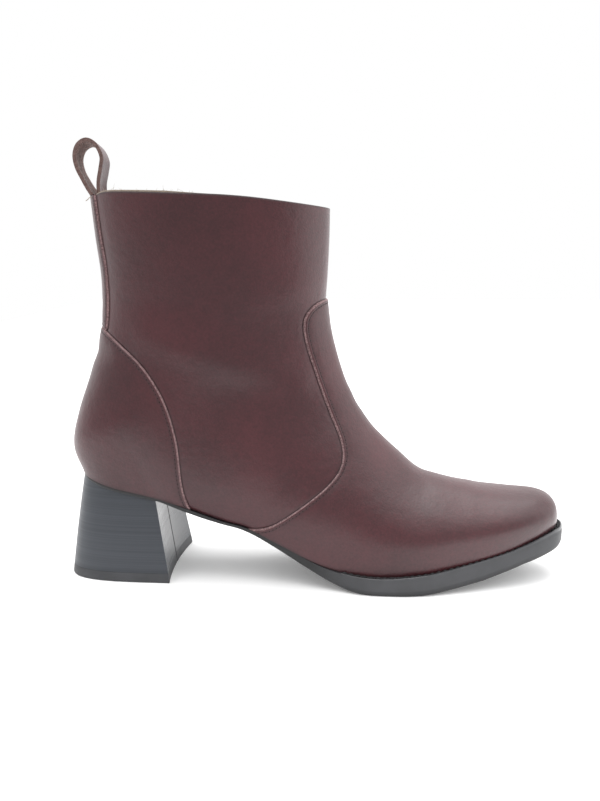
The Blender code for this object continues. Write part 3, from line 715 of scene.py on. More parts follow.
# Lining: pale undyed leather, glued inside the upper and cut a little proud of the collar, where
# its fuzzy edge shows and a few loose fibres stand up.
LINING_INNER = 1.7
LINING_RISE = 0.75
LINING_RISE_END_X = (28.0, 46.0)
LINING_SHEET = SheetSteps(4, 10, 16, 10, 14)
LINING_DARK = (0.3312, 0.2664, 0.2088, 1)
LINING_LIGHT = (0.46, 0.37, 0.29, 1)
LINING_NAP_SCALE = 1400.0
LINING_BUMP = 0.5
NAP_HEIGHT = 0.0003

# nap: leather fibres that lie open, mottled and fuzzy
nap_group, nap_inputs = new_group("leather nap", ["Scale"])
nap = noise(nap_group, stretched(nap_group), nap_inputs["Scale"], detail=3.0)
end_group(nap_group, {"Nap": nap})

lining_leather, lining_tree, lining_shader = new_material("pale lining", Roughness=0.9, Sheen_Weight=0.3)
lining_nap = place_group(lining_tree, nap_group, {"Scale": LINING_NAP_SCALE})["Nap"]
lining_tone = mix_colours(lining_tree, lining_nap, LINING_DARK, LINING_LIGHT)
lining_tree.links.new(lining_tone, lining_shader.inputs["Base Color"])
bump(lining_tree, lining_shader, lining_nap, LINING_BUMP, NAP_HEIGHT)
lining_cells, lining_places, lining_acrosses = last_sheet(LINING_SHEET)
lining_layers = []
for depth in (LEATHER_THICKNESS, LINING_INNER):
    layer = skin(lining_places, lining_acrosses, np.full(len(lining_places), -depth))
    proud = LINING_RISE * np.interp(layer[:, 0], LINING_RISE_END_X, (1, 0))
    layer[:, 2] += np.where(lining_places > COLLAR - TINY, proud, 0)
    lining_layers.append(layer)
lining_points, lining_faces, _ = thick_sheet(lining_cells, *lining_layers)
add_piece("lining", lining_points, lining_faces, [lining_leather], "insole_leather")

FIBRE_COUNT = 46
FIBRE_LENGTH = (0.6, 2.4)
FIBRE_RADIUS = 0.07
FIBRE_TIP = 0.4          # share of the radius that is left at the tip
FIBRE_SIDES = 3
FIBRE_STEPS = 4
FIBRE_SCATTER = (0.8, 0.12, 0.0)
FIBRE_LEAN = (1.0, 0.5, 0.2)
FIBRE_RISE = (0.0, 0.0, 0.9)
FIBRE_CURL = 0.14
SEED = 7
random = np.random.default_rng(SEED)


def wall_faces(count, levels):
    """Faces between loops of points, one loop after the other."""
    faces = []
    for level in range(levels - 1):
        top, low = level * count, (level + 1) * count
        for step in range(count):
            after = (step + 1) % count
            faces.append([top + step, top + after, low + after, low + step])
    return faces


def capped_faces(count, levels):
    """Faces of a closed solid through loops of points: both ends, then the walls between."""
    lowest = (levels - 1) * count
    ends = [list(range(count - 1, -1, -1)), list(range(lowest, lowest + count))]
    return ends + wall_faces(count, levels)


UPRIGHT = 0.9            # a run that rises more than this counts as upright


def tube(path, radius, sides):
    """Closed tube round a path, with its radius at each step of the path."""
    path = np.asarray(path, float)
    run = unit(np.gradient(path, axis=0))
    helper = np.where(np.abs(run[:, [2]]) < UPRIGHT, [[0, 0, 1]], [[1, 0, 0]])
    first = unit(np.cross(run, helper))
    second = np.cross(run, first)
    turn = np.linspace(0, 2 * np.pi, sides, endpoint=False)
    ring = np.cos(turn)[None, :, None] * first[:, None] + np.sin(turn)[None, :, None] * second[:, None]
    points = path[:, None] + np.asarray(radius)[:, None, None] * ring
    return points.reshape(-1, 3), capped_faces(sides, len(path))


def joined(parts):
    """Many small meshes as one: points and faces."""
    points = []
    faces = []
    count = 0
    for part_points, part_faces in parts:
        points.append(part_points)
        faces += [[count + corner for corner in face] for face in part_faces]
        count += len(part_points)
    return np.vstack(points), faces


lining_outside = lining_layers[0]
on_rim = (lining_places > COLLAR - TINY) & (lining_outside[:, 0] < LINING_RISE_END_X[1])
rim_points = lining_outside[on_rim]
fibre_radius = FIBRE_RADIUS * np.linspace(1, FIBRE_TIP, FIBRE_STEPS)
fibres = []
for _ in range(FIBRE_COUNT):
    root = rim_points[random.integers(len(rim_points))] + random.normal(0, FIBRE_SCATTER)
    lean = unit(random.normal(0, FIBRE_LEAN) + FIBRE_RISE)
    curl = random.normal(0, FIBRE_CURL, 3)
    along = np.linspace(0, random.uniform(*FIBRE_LENGTH), FIBRE_STEPS)[:, None]
    fibres.append(tube(root + along * lean + along ** 2 * curl, fibre_radius, FIBRE_SIDES))
add_piece("lining_fibres", *joined(fibres), [lining_leather], "insole_leather")

# Vamp: one piece of the same leather that covers the toes and runs up to a round tongue at the
# shin. It is lapped over the quarters, its cut edge is left raw, and a row of stitches holds it.
RAW_EDGE_DARK = (0.105, 0.056, 0.058, 1)
RAW_EDGE_LIGHT = (0.30, 0.185, 0.187, 1)
THREAD = (0.050, 0.018, 0.021, 1)
OVERLAY_SEAT = -0.06     # its flesh side is pressed this far into the quarters
RAW_EDGE_WIDTH = 0.6
RAGGEDNESS = 0.07
EDGE_PROFILE = [         # distance from the cut edge, and height of the leather there
    (0.0, 0.15),
    (0.3, 0.55),
    (0.6, 0.86),
    (0.9, 1.06),
    (1.3, 1.1),
    (1.8, 0.97),
    (2.25, 1.1),
    (4.5, 1.32),
    (9.0, 1.5),
]
PROFILE_LEVELS = [distance for distance, _ in EDGE_PROFILE[:-1]]
STITCH_LEVEL = 1.8
# painted shade: the leather's colour is darkened along the stitch row's groove
STITCH_LINE_SHADE = 0.5
POLISHED_FROM_X = (135.0, 195.0)
POLISHED_BELOW_Z = (31.0, 40.0)
WrinkledPart = namedtuple("WrinkledPart", "x z reach_x reach_z")
INSTEP_WRINKLES = WrinkledPart(108.0, 98.0, 17.0, 34.0)
FLEX_WRINKLES = WrinkledPart(149.0, 45.0, 9.0, 9.0)
STITCH_LINE_WIDTH = 0.4
STITCH_PITCH = 2.1
Stitch = namedtuple("Stitch", "pitch length radius rise slant")
OVERLAY_STITCH = Stitch(STITCH_PITCH, 1.7, 0.22, 0.08, 0.0)
STITCH_TAPER = 0.6
STITCH_STEPS = 5
STITCH_SIDES = 6
# needle holes: dark pegs that stand for the shade inside each hole, painted shade
HOLE_LEVELS = (-0.33, 0.0, 0.165)   # along the hole, from inside the leather to its top
HOLE_RADII = (0.33, 0.33, 0.198)
HOLE_SHADE = (0.008, 0.004, 0.005, 1)
NAP_RANGE = (0.28, 0.72)
NAP_BUMP = 0.4
RAW_EDGE_NAP_SCALE = 1300.0
TWIST_SCALE = 2500.0
TWIST_BUMP = 0.5
TWIST_HEIGHT = 0.0002


def napped_material(name, dark, light, scale):
    """Leather with its nap outside."""
    material, tree, shader = new_material(name, Roughness=0.9, Sheen_Weight=0.2)
    nap = place_group(tree, nap_group, {"Scale": scale})["Nap"]
    tone = mix_colours(tree, fit_range(tree, nap, NAP_RANGE), dark, light)
    tree.links.new(tone, shader.inputs["Base Color"])
    bump(tree, shader, nap, NAP_BUMP, NAP_HEIGHT)
    return material


raw_edge = napped_material("raw cut edge", RAW_EDGE_DARK, RAW_EDGE_LIGHT, RAW_EDGE_NAP_SCALE)
thread, thread_tree, thread_shader = new_material("burgundy thread", Base_Color=THREAD, Roughness=0.6)
thread_twist = noise(thread_tree, stretched(thread_tree), TWIST_SCALE, detail=1.0)
bump(thread_tree, thread_shader, thread_twist, TWIST_BUMP, TWIST_HEIGHT)
painted_hole_shade, _, _ = new_material("needle hole painted shade", Base_Color=HOLE_SHADE, Roughness=0.9)


def line_on_sheet(sheet, field, level):
    """Places and acrosses along the longest line of a sheet where the field has a level."""
    cells, places, acrosses = sheet
    on_line = np.abs(field(places, acrosses) - level) < SNAP
    beside = {}
    for cell in cells:
        for start, end in zip(cell, cell[1:] + cell[:1]):
            if on_line[start] and on_line[end]:
                beside.setdefault(start, set()).add(end)
                beside.setdefault(end, set()).add(start)
    longest = []
    waiting = set(beside)
    while waiting:
        ends = [corner for corner in waiting if len(beside[corner]) == 1]
        line = [ends[0] if ends else next(iter(waiting))]
        waiting.discard(line[0])
        ahead = beside[line[0]] & waiting
        while ahead:
            line.append(min(ahead))
            waiting.discard(line[-1])
            ahead = beside[line[-1]] & waiting
        if len(line) > len(longest):
            longest = line
    return places[longest], acrosses[longest]


def reach_along(line):
    """Length of a line up to each of its points."""
    steps = np.linalg.norm(np.diff(line, axis=0), axis=1)
    return np.concatenate([[0], np.cumsum(steps)])


def read_along(places, reach, rows):
    """Rows of a line read at places along it."""
    return np.stack([np.interp(places, reach, column) for column in rows.T], axis=-1)


def hole_row(line, normals):
    """Needle holes between the stitches of a row: short dark pegs whose tops just show, painted shade
    inside each hole.
    """
    reach = reach_along(line)
    holes = []
    for middle in np.arange(STITCH_PITCH, reach[-1] - STITCH_PITCH / 2, STITCH_PITCH):
        up = unit(read_along(middle, reach, normals))
        path = read_along(middle, reach, line) + np.outer(HOLE_LEVELS, up)
        holes.append(tube(path, HOLE_RADII, STITCH_SIDES))
    return joined(holes)


def stitch_row(line, normals, stitch):
    """Stitches along a line: each is a short bowed thread whose ends sink into the leather."""
    reach = reach_along(line)
    share = np.linspace(-0.5, 0.5, STITCH_STEPS)
    radii = stitch.radius * np.sqrt(1 - STITCH_TAPER * (2 * share) ** 2)
    bow = stitch.rise - (stitch.rise + stitch.radius) * (2 * share) ** 2
    stitches = []
    for middle in np.arange(stitch.pitch / 2, reach[-1] - stitch.pitch / 2, stitch.pitch):
        path = read_along(middle + share * stitch.length, reach, line)
        up = unit(read_along(middle, reach, normals))
        aside = np.cross(up, unit(path[-1] - path[0]))
        slanted = stitch.slant * (share * stitch.length)[:, None] * aside
        stitches.append(tube(path + bow[:, None] * up + slanted, radii, STITCH_SIDES))
    return joined(stitches)


def profile_height(distance):
    distances, heights = np.transpose(EDGE_PROFILE)
    return np.interp(distance, distances, heights)


def wrinkled(points, part):
    away = ((points[:, 0] - part.x) / part.reach_x) ** 2 + ((points[:, 2] - part.z) / part.reach_z) ** 2
    return np.exp(-away)


def polished_towards_toe(points):
    forward = np.interp(points[:, 0], POLISHED_FROM_X, (0, 1))
    return forward * np.interp(points[:, 2], POLISHED_BELOW_Z, (1, 0))


def add_overlay(name, slot, field):
    """Leather laid on the upper where the field is above zero, with its stitches."""
    sheet = last_sheet(FINE_SHEET)
    for level in PROFILE_LEVELS:
        sheet = split_sheet(sheet, field, level)
    cells, places, acrosses = sheet
    distance = field(places, acrosses)
    cells = [cell for cell in cells if np.mean(distance[cell]) > SNAP / 2]
    cell_distance = np.array([np.mean(distance[cell]) for cell in cells])
    ragged = np.where(distance < RAW_EDGE_WIDTH, random.normal(0, RAGGEDNESS, len(distance)), 0)
    points, faces, used = thick_sheet(
        cells,
        skin(places, acrosses, profile_height(distance) + ragged),
        skin(places, acrosses, np.full(len(places), OVERLAY_SEAT)),
    )
    raw = np.ones(len(faces), int)
    raw[: len(cells)] = cell_distance < RAW_EDGE_WIDTH
    stitch_line = np.exp(-((distance[used] - STITCH_LEVEL) / STITCH_LINE_WIDTH) ** 2)
    top = points[: len(used)]
    add_piece(name, points, faces, [burgundy, raw_edge], slot, name, face_materials=raw, masks={
        "shade": np.maximum(STITCH_LINE_SHADE * stitch_line, feather_shade(top)),
        "instep": wrinkled(top, INSTEP_WRINKLES),
        "flex": wrinkled(top, FLEX_WRINKLES),
        "polish": polished_towards_toe(top),
    })
    line_places, line_acrosses = line_on_sheet((cells, places, acrosses), field, STITCH_LEVEL)
    heights = np.full(len(line_places), profile_height(STITCH_LEVEL))
    line = skin(line_places, line_acrosses, heights)
    normals = outward(line_places, line_acrosses)
    add_piece(name + "_stitches", *stitch_row(line, normals, OVERLAY_STITCH), [thread], slot)
    add_piece(name + "_needle_holes", *hole_row(line, normals), [painted_hole_shade], slot)


add_overlay("vamp", "leather", inside_vamp)

# Counter: a panel of the same leather that cups the heel, lapped over the quarters with a raw
# cut edge and stitched like the vamp.
add_overlay("counter", "leather", inside_counter)

# Back strip: a strap of the same leather sewn over the back seam, from the counter up to the
# collar, with raw cut edges.
add_overlay("back_strip", "strap_leather", inside_strip)

# Pull loop: a narrow strap folded with its brown flesh side inside. One end is caught under the top
# of the back strip and the other behind the collar, with a loose end of thread beside it.
LoopPoint = namedtuple("LoopPoint", "x z bend")
LOOP = [
    LoopPoint(-15.6, 191.7, 1.0),
    LoopPoint(-17.5, 194.9, 0.75),
    LoopPoint(-19.4, 198.8, 0.45),
    LoopPoint(-21.8, 204.3, 0.2),
    LoopPoint(-22.5, 210.0, 0.05),
    LoopPoint(-20.5, 215.0, 0.0),
    LoopPoint(-16.2, 217.2, 0.0),
    LoopPoint(-11.7, 214.8, 0.0),
    LoopPoint(-9.1, 209.2, 0.05),
    LoopPoint(-10.0, 203.5, 0.2),
    LoopPoint(-11.5, 198.0, 0.5),
    LoopPoint(-12.1, 192.4, 0.95),
    LoopPoint(-11.4, 187.0, 1.1),
    LoopPoint(-10.4, 177.5, 1.1),
]
STRAP_THICKNESS = 1.9
LOOP_HALF_WIDTH = 6.2
LEG_BACK_RADIUS = 14.5
LOOP_LEAN = 0.15
LOOP_STEPS = 12
LOOP_COLUMNS = 14
LOOP_EDGE_ROUNDING = [(0.0, 0.85), (0.25, 0.96), (0.8, 1.0)]   # from the edge, share of thickness
FLESH_DARK = (0.115, 0.060, 0.050, 1)
FLESH_LIGHT = (0.19, 0.105, 0.090, 1)
STRAP_EDGE_DARK = (0.105, 0.060, 0.053, 1)
STRAP_EDGE_LIGHT = (0.18, 0.112, 0.10, 1)
LOOSE_THREAD = [(-13.2, -8.6, 190.2), (-14.4, -9.2, 190.4), (-15.4, -9.4, 189.4), (-16.6, -9.2, 188.6)]
LOOSE_THREAD_RADIUS = 0.2
FLESH_NAP_SCALE = 700.0
STRAP_EDGE_NAP_SCALE = 900.0
flesh = napped_material("flesh side", FLESH_DARK, FLESH_LIGHT, FLESH_NAP_SCALE)
strap_edge = napped_material("strap edge", STRAP_EDGE_DARK, STRAP_EDGE_LIGHT, STRAP_EDGE_NAP_SCALE)


def swept_faces(corner_count, ring_count):
    """Faces of a closed solid through rings of corners that run the other way round."""
    return [face[::-1] for face in capped_faces(corner_count, ring_count)]


loop_path = through(run_on(LOOP), np.linspace(0, len(LOOP) - 1, (len(LOOP) - 1) * LOOP_STEPS + 1))
loop_run = unit(np.gradient(loop_path[:, :2], axis=0))
edge_inset, edge_share = np.transpose(LOOP_EDGE_ROUNDING)
strap_across = np.concatenate([
    -LOOP_HALF_WIDTH + edge_inset,
    np.linspace(-LOOP_HALF_WIDTH, LOOP_HALF_WIDTH, LOOP_COLUMNS + 1)[2:-2],
    LOOP_HALF_WIDTH - edge_inset[::-1],
])
from_edge = LOOP_HALF_WIDTH - np.abs(strap_across)
strap_half = STRAP_THICKNESS / 2 * np.interp(from_edge, edge_inset, edge_share)
loop_rings = []
for (x, z, bend), (run_x, run_z) in zip(loop_path, loop_run):
    middle_x = x + bend * strap_across ** 2 / (2 * LEG_BACK_RADIUS)
    middle_z = z - (1 - bend) * LOOP_LEAN * strap_across
    out_x, out_z = -strap_half * run_z, strap_half * run_x
    outside = np.column_stack([middle_x + out_x, strap_across, middle_z + out_z])
    inside = np.column_stack([middle_x - out_x, strap_across, middle_z - out_z])
    loop_rings.append(np.vstack([outside, inside[::-1]]))
loop_corners = 2 * len(strap_across)
loop_faces = swept_faces(loop_corners, len(loop_rings))
GRAIN_SIDE, FLESH_SIDE, CUT_EDGE = range(3)
outside_end = len(strap_across) - 1
loop_columns = np.arange(loop_corners)
rim_columns = (outside_end, loop_corners - 1, 0, outside_end - 1, outside_end + 1, loop_corners - 2)
column_sides = np.where(loop_columns < outside_end, GRAIN_SIDE, FLESH_SIDE)
column_sides = np.where(np.isin(loop_columns, rim_columns), CUT_EDGE, column_sides)
loop_ends = [FLESH_SIDE, FLESH_SIDE]
add_piece("pull_loop", np.vstack(loop_rings), loop_faces, [burgundy, flesh, strap_edge],
          "strap_leather", "pull_loop",
          face_materials=np.concatenate([loop_ends, np.tile(column_sides, len(loop_rings) - 1)]))
thread_radii = np.full(len(LOOSE_THREAD), LOOSE_THREAD_RADIUS)
loose_thread = tube(LOOSE_THREAD, thread_radii, STITCH_SIDES)
add_piece("loose_thread", *loose_thread, [lining_leather], "strap_leather")

# Insole: a pale leather sock, cut to the shape of the feather edge and glued on the sole inside the
# upper. It is a little crowned, and its upper edge is rounded.
InsoleLevel = namedtuple("InsoleLevel", "inset rise")
INSOLE_LEVELS = [        # inwards and upwards from the feather edge
    InsoleLevel(10.2, 2.4),
    InsoleLevel(2.8, 2.0),
    InsoleLevel(2.2, 1.4),
    InsoleLevel(2.2, 0.0),
]
INSOLE_DARK = (0.42, 0.31, 0.22, 1)
INSOLE_LIGHT = (0.52, 0.40, 0.29, 1)
INSOLE_BUMP = 0.2
EDGE_STEPS = 12
EDGE_STEP = 0.02
EDGE_PLACES = np.linspace(0, EDGE_END, EDGE_END * EDGE_STEPS + 1)


def edge_side(margin, side):
    """One side of the feather edge from the toe to the heel, moved out level by a margin."""
    ahead = feather_points(EDGE_PLACES + EDGE_STEP, side)
    behind = feather_points(EDGE_PLACES - EDGE_STEP, side)
    run = ahead - behind
    normal = unit(np.column_stack([side * run[:, 1], -side * run[:, 0]]))
    normal[0] = (1, 0)
    normal[-1] = (-1, 0)
    return feather_points(EDGE_PLACES, side)[:, :2] + np.asarray(margin)[:, None] * normal


def edge_plan(margin):
    """Closed loop at a margin from the feather edge: toe, lateral side, heel, medial side."""
    return np.vstack([edge_side(margin, -1), edge_side(margin, 1)[-2:0:-1]])


def ladder_faces(count, levels):
    """Faces of a closed solid through level loops, from the top down, its ends split in rungs."""
    rungs = [(step, (count - step) % count) for step in range(count // 2 + 1)]
    lowest = (levels - 1) * count
    faces = []
    for (left, right), (next_left, next_right) in zip(rungs, rungs[1:]):
        corners = list(dict.fromkeys([right, next_right, next_left, left]))
        faces.append(corners)
        faces.append([lowest + corner for corner in reversed(corners)])
    return faces + wall_faces(count, levels)


insole_leather, insole_tree, insole_shader = new_material("insole leather", Roughness=0.75)
insole_grain = place_group(insole_tree, grain_group, {"Unevenness": UNEVENNESS})
insole_tone = fit_range(insole_tree, insole_grain["Cloud"], NOISE_MIDDLE)
insole_colour = mix_colours(insole_tree, insole_tone, INSOLE_DARK, INSOLE_LIGHT)
insole_tree.links.new(insole_colour, insole_shader.inputs["Base Color"])
bump(insole_tree, insole_shader, insole_grain["Height"], INSOLE_BUMP, LEATHER_BUMP_HEIGHT)
insole_loops = []
for level in INSOLE_LEVELS:
    plan = edge_plan(np.full(len(EDGE_PLACES), -level.inset))
    insole_loops.append(np.column_stack([plan, feather_height(plan[:, 0]) + level.rise]))
insole_faces = ladder_faces(len(insole_loops[0]), len(insole_loops))
add_piece("insole", np.vstack(insole_loops), insole_faces, [insole_leather], "insole_leather", "insole")

# Outsole: one black rubber sole with a thick forefoot, a thin arched waist and a thin heel seat.
# Its wall stands out from the upper round the toes, and its lower edge is rounded and darker, painted
# shade where it turns under towards the floor.
SoleStation = namedtuple("SoleStation", "x underside margin")
SOLE = [
    SoleStation(-30.0, 54.0, 1.6),
    SoleStation(-10.0, 47.4, 1.6),
    SoleStation(20.0, 41.2, 1.5),
    SoleStation(37.0, 34.6, 1.4),
    SoleStation(50.0, 30.4, 1.3),
    SoleStation(63.0, 26.9, 1.2),
    SoleStation(78.0, 19.1, 1.2),
    SoleStation(91.0, 11.6, 1.5),
    SoleStation(108.0, 3.4, 2.7),
    SoleStation(120.0, 0.4, 4.6),
    SoleStation(135.0, 0.0, 4.9),
    SoleStation(150.0, 0.3, 4.6),
    SoleStation(162.0, 1.9, 4.0),
    SoleStation(180.0, 5.2, 3.4),
    SoleStation(190.0, 8.2, 3.6),
    SoleStation(201.0, 11.7, 4.2),
    SoleStation(223.0, 17.4, 6.6),
]
# shade darkens the rounded lower edge towards the floor: painted shade
EdgeLevel = namedtuple("EdgeLevel", "share draw_in shade")
EDGE_LEVELS = [
    EdgeLevel(1.0, 0.0, 0.0),
    EdgeLevel(0.36, 0.0, 0.0),
    EdgeLevel(0.28, 0.08, 0.35),
    EdgeLevel(0.22, 0.25, 0.5),
    EdgeLevel(0.12, 0.5, 0.6),
    EdgeLevel(0.04, 0.8, 0.7),
    EdgeLevel(0.0, 1.2, 0.7),
]
WAIST_SHADE = 1.0        # painted shade: the waist's edge is coloured darker than the forefoot's, where its wall turns under towards the shadowed floor
WAIST_SHADE_END_X = (96.0, 116.0)
FULL_WALL = 7.5          # a lower wall is rounded less, down to the least share
LEAST_DRAW = 0.15
SOLE_TOP_GAP = 0.05
RUBBER_DARK = (0.040, 0.041, 0.045, 1)
RUBBER_LIGHT = (0.052, 0.053, 0.058, 1)
# painted shade: the darkest rubber tones, for the welt's channel and stitches and the shaded parts of the
# sole's edge
RUBBER_PAINTED_SHADE_DARK = (0.010, 0.010, 0.011, 1)
RUBBER_PAINTED_SHADE_LIGHT = (0.016, 0.016, 0.017, 1)
SOLE_ROUGHNESS = (0.43, 0.53)
RUBBER_BUMP = 0.12
RUBBER_BUMP_HEIGHT = 0.0002


def sole_values(x):
    """Underside height and edge margin of the sole at a place along it."""
    stations = np.array(SOLE)
    places = np.interp(x, stations[:, 0], np.arange(len(stations)))
    values = through(run_on(stations), places)
    return np.maximum(values[..., 1], 0), values[..., 2]


# rubber: faint moulding blotches and a fine matt skin
RUBBER_SCALES = {"Blotch Scale": 60.0, "Skin Scale": 3200.0}
rubber_group, rubber_inputs = new_group("moulded rubber", RUBBER_SCALES)
rubber_place = stretched(rubber_group)
end_group(rubber_group, {
    "Blotch": noise(rubber_group, rubber_place, rubber_inputs["Blotch Scale"], detail=3.0),
    "Skin": noise(rubber_group, rubber_place, rubber_inputs["Skin Scale"], detail=2.0),
})


def rubber_material(name, dark, light, roughness, coat=0.0):
    """Moulded rubber, mixed towards painted shade where the shade mask says. roughness is its lowest and
    its highest.
    """
    material, tree, shader = new_material(name, Coat_Weight=coat)
    surface = place_group(tree, rubber_group, RUBBER_SCALES)
    blotched = mix_colours(tree, fit_range(tree, surface["Blotch"], NOISE_MIDDLE), dark, light)
    shaded = mix_colours(tree, mask(tree, "shade"), blotched, RUBBER_PAINTED_SHADE_DARK)
    tree.links.new(shaded, shader.inputs["Base Color"])
    rough = fit_range(tree, surface["Skin"], NOISE_MIDDLE, roughness)
    tree.links.new(rough, shader.inputs["Roughness"])
    bump(tree, shader, surface["Skin"], RUBBER_BUMP, RUBBER_BUMP_HEIGHT)
    return material


sole_rubber = rubber_material("black sole rubber", RUBBER_DARK, RUBBER_LIGHT, SOLE_ROUGHNESS)
edge_x = feather_edge(EDGE_PLACES)[:, 0]
edge_underside, sole_margin = sole_values(edge_x)
draw_share = np.clip((feather_height(edge_x) - edge_underside) / FULL_WALL, LEAST_DRAW, 1)
sole_loops = []
sole_shades = []
for level in EDGE_LEVELS:
    plan = edge_plan(sole_margin - level.draw_in * draw_share)
    underside, _ = sole_values(plan[:, 0])
    wall = feather_height(plan[:, 0]) - SOLE_TOP_GAP - underside
    sole_loops.append(np.column_stack([plan, underside + level.share * wall]))
    waist_shade = np.interp(plan[:, 0], WAIST_SHADE_END_X, (WAIST_SHADE, 0))
    sole_shades.append(np.maximum(waist_shade, level.shade))
sole_faces = ladder_faces(len(sole_loops[0]), len(sole_loops))
add_piece("outsole", np.vstack(sole_loops), sole_faces, [sole_rubber], "sole_rubber", "outsole",
          masks={"shade": np.concatenate(sole_shades)})

# Welt: a rubber strip glued on the sole's margin round the toes. It tapers out at the waist, and
# a row of slanting stitches is moulded in the channel beside the upper.
WELT_INNER_MARGIN = 1.2
WELT_END_X = 110.0
WeltStation = namedtuple("WeltStation", "x thickness")
WELT = [
    WeltStation(WELT_END_X, 0.3),
    WeltStation(140.0, 1.2),
    WeltStation(195.0, 1.4),
    WeltStation(222.0, 2.7),
]
WeltCorner = namedtuple("WeltCorner", "across up")
WELT_PROFILE = [
    WeltCorner(0.0, -0.1),
    WeltCorner(1.0, -0.1),
    WeltCorner(1.0, 0.45),
    WeltCorner(0.98, 0.75),
    WeltCorner(0.93, 0.95),
    WeltCorner(0.86, 1.0),
    WeltCorner(0.78, 0.93),
    WeltCorner(0.68, 0.62),
    WeltCorner(0.5, 0.5),
    WeltCorner(0.25, 0.55),
    WeltCorner(0.08, 0.85),
    WeltCorner(0.0, 0.95),
]
WELT_LIP_CORNER = 2
WELT_CHANNEL_CORNER = 6
CHANNEL_ROUGHNESS = (0.55, 0.65)
WELT_STITCH_ROUGHNESS = (0.65, 0.75)
LIP_ROUGHNESS = (0.29, 0.39)
LIP_COAT = 0.5
WELT_STITCH_ACROSS = 0.48
WELT_STITCH_UP = 0.6
WELT_STITCH = Stitch(3.3, 3.0, 0.7, 0.3, 0.32)
welt_sides = []
for side in (-1, 1):
    welt_outer = edge_side(sole_margin, side)
    welt_inner = edge_side(np.full(len(EDGE_PLACES), WELT_INNER_MARGIN), side)
    kept = welt_outer[:, 0] >= WELT_END_X
    welt_sides.append((welt_inner[kept], welt_outer[kept]))
welt_inner = np.vstack([welt_sides[0][0][::-1], welt_sides[1][0][1:]])
welt_outer = np.vstack([welt_sides[0][1][::-1], welt_sides[1][1][1:]])


def on_welt(across, up):
    """Line along the welt at a share of its width and of its thickness."""
    plan = welt_inner + across * (welt_outer - welt_inner)
    thickness = np.interp(plan[:, 0], *np.transpose(WELT))
    return np.column_stack([plan, feather_height(plan[:, 0]) + up * thickness])


# The channel and its moulded stitches are coloured darker than the sole: painted shade in the recess
# beside the upper.
shaded_channel_rubber = rubber_material("welt channel rubber with painted shade", RUBBER_PAINTED_SHADE_LIGHT, RUBBER_DARK, CHANNEL_ROUGHNESS)
shaded_stitch_rubber = rubber_material("welt stitch rubber with painted shade", RUBBER_PAINTED_SHADE_DARK, RUBBER_PAINTED_SHADE_LIGHT,
                                WELT_STITCH_ROUGHNESS)
lip_rubber = rubber_material("welt lip rubber", RUBBER_DARK, RUBBER_LIGHT, LIP_ROUGHNESS, LIP_COAT)
WELT_WALL, WELT_CHANNEL, WELT_LIP = range(3)
welt_rings = np.stack([on_welt(*corner) for corner in WELT_PROFILE], axis=1)
welt_corners = np.arange(len(WELT_PROFILE))
corner_kind = np.where(welt_corners >= WELT_LIP_CORNER, WELT_LIP, WELT_WALL)
corner_kind = np.where(welt_corners >= WELT_CHANNEL_CORNER, WELT_CHANNEL, corner_kind)
welt_ends = [WELT_WALL, WELT_WALL]
add_piece("welt", welt_rings.reshape(-1, 3), swept_faces(len(WELT_PROFILE), len(welt_rings)),
          [sole_rubber, shaded_channel_rubber, lip_rubber], "sole_rubber", "welt",
          face_materials=np.concatenate([welt_ends, np.tile(corner_kind, len(welt_rings) - 1)]))
welt_line = on_welt(WELT_STITCH_ACROSS, WELT_STITCH_UP)
welt_up = np.tile([0.0, 0.0, 1.0], (len(welt_line), 1))
welt_stitches = stitch_row(welt_line, welt_up, WELT_STITCH)
add_piece("welt_stitches", *welt_stitches, [shaded_stitch_rubber], "sole_rubber")

# Heel: a flared block wrapped in black sheet that is printed like stacked leather. The sheet's
# ends meet in a joint down the middle of the hollowed breast, which is polished.
HeelLevel = namedtuple("HeelLevel", "z back front lateral medial hollow fullness")
HEEL_SEAT = HeelLevel(45.0, -23.6, 17.6, 26.0, 26.4, 1.5, 3.0)
HEEL_FLOOR = HeelLevel(0.0, -30.4, 24.7, 30.6, 31.8, 2.2, 3.8)
HEEL_SWELL = 0.45        # its back swells a little half way up
HEEL_SIDE_STEPS = 48
HEEL_BREAST_STEPS = 24
HEEL_LEVELS = 10
HEEL_WRAP, HEEL_BREAST, HEEL_JOINT = range(3)
JOINT_WIDTH = 0.6
JOINT_CORNERS = (1.0, 0.5, -0.5, -1.0)   # across the joint, whose floor is between the middle two
JOINT_FLOOR = 0.6
JOINT_DEPTH = 0.8
LIFT_HEIGHT = 5.0
STACK_DARK = (0.028, 0.032, 0.040, 1)
STACK_LIGHT = (0.046, 0.052, 0.063, 1)


def heel_plan(height):
    """Outline of the heel at a height, and on which part of it each point lies."""
    share = height / HEEL_SEAT.z
    level = HeelLevel(*(np.array(HEEL_FLOOR) + share * (np.array(HEEL_SEAT) - np.array(HEEL_FLOOR))))
    turn = np.linspace(-np.pi / 2, np.pi / 2, 2 * HEEL_SIDE_STEPS + 1)
    half = np.where(turn < 0, level.lateral, level.medial)
    power = 2 / level.fullness
    length = level.front - level.back + HEEL_SWELL * 4 * share * (1 - share)
    back_x = level.front - length * np.clip(np.cos(turn), 0, 1) ** power
    back_y = np.sign(turn) * half * np.abs(np.sin(turn)) ** power
    across = np.linspace(1, -1, HEEL_BREAST_STEPS + 1)[1:-1]
    joint = JOINT_WIDTH / level.medial * np.array(JOINT_CORNERS)
    across = np.sort(np.concatenate([across[across != 0], joint]))[::-1]
    breast_y = np.where(across < 0, level.lateral, level.medial) * across
    in_joint = np.abs(across) < JOINT_FLOOR * JOINT_WIDTH / level.medial
    breast_x = level.front - level.hollow * (1 - across ** 2) - JOINT_DEPTH * in_joint
    plan = np.column_stack([np.append(back_x, breast_x), np.append(back_y, breast_y)])
    breast_part = np.where(in_joint, HEEL_JOINT, HEEL_BREAST)
    return plan, np.append(np.full(len(back_x), HEEL_WRAP), breast_part)


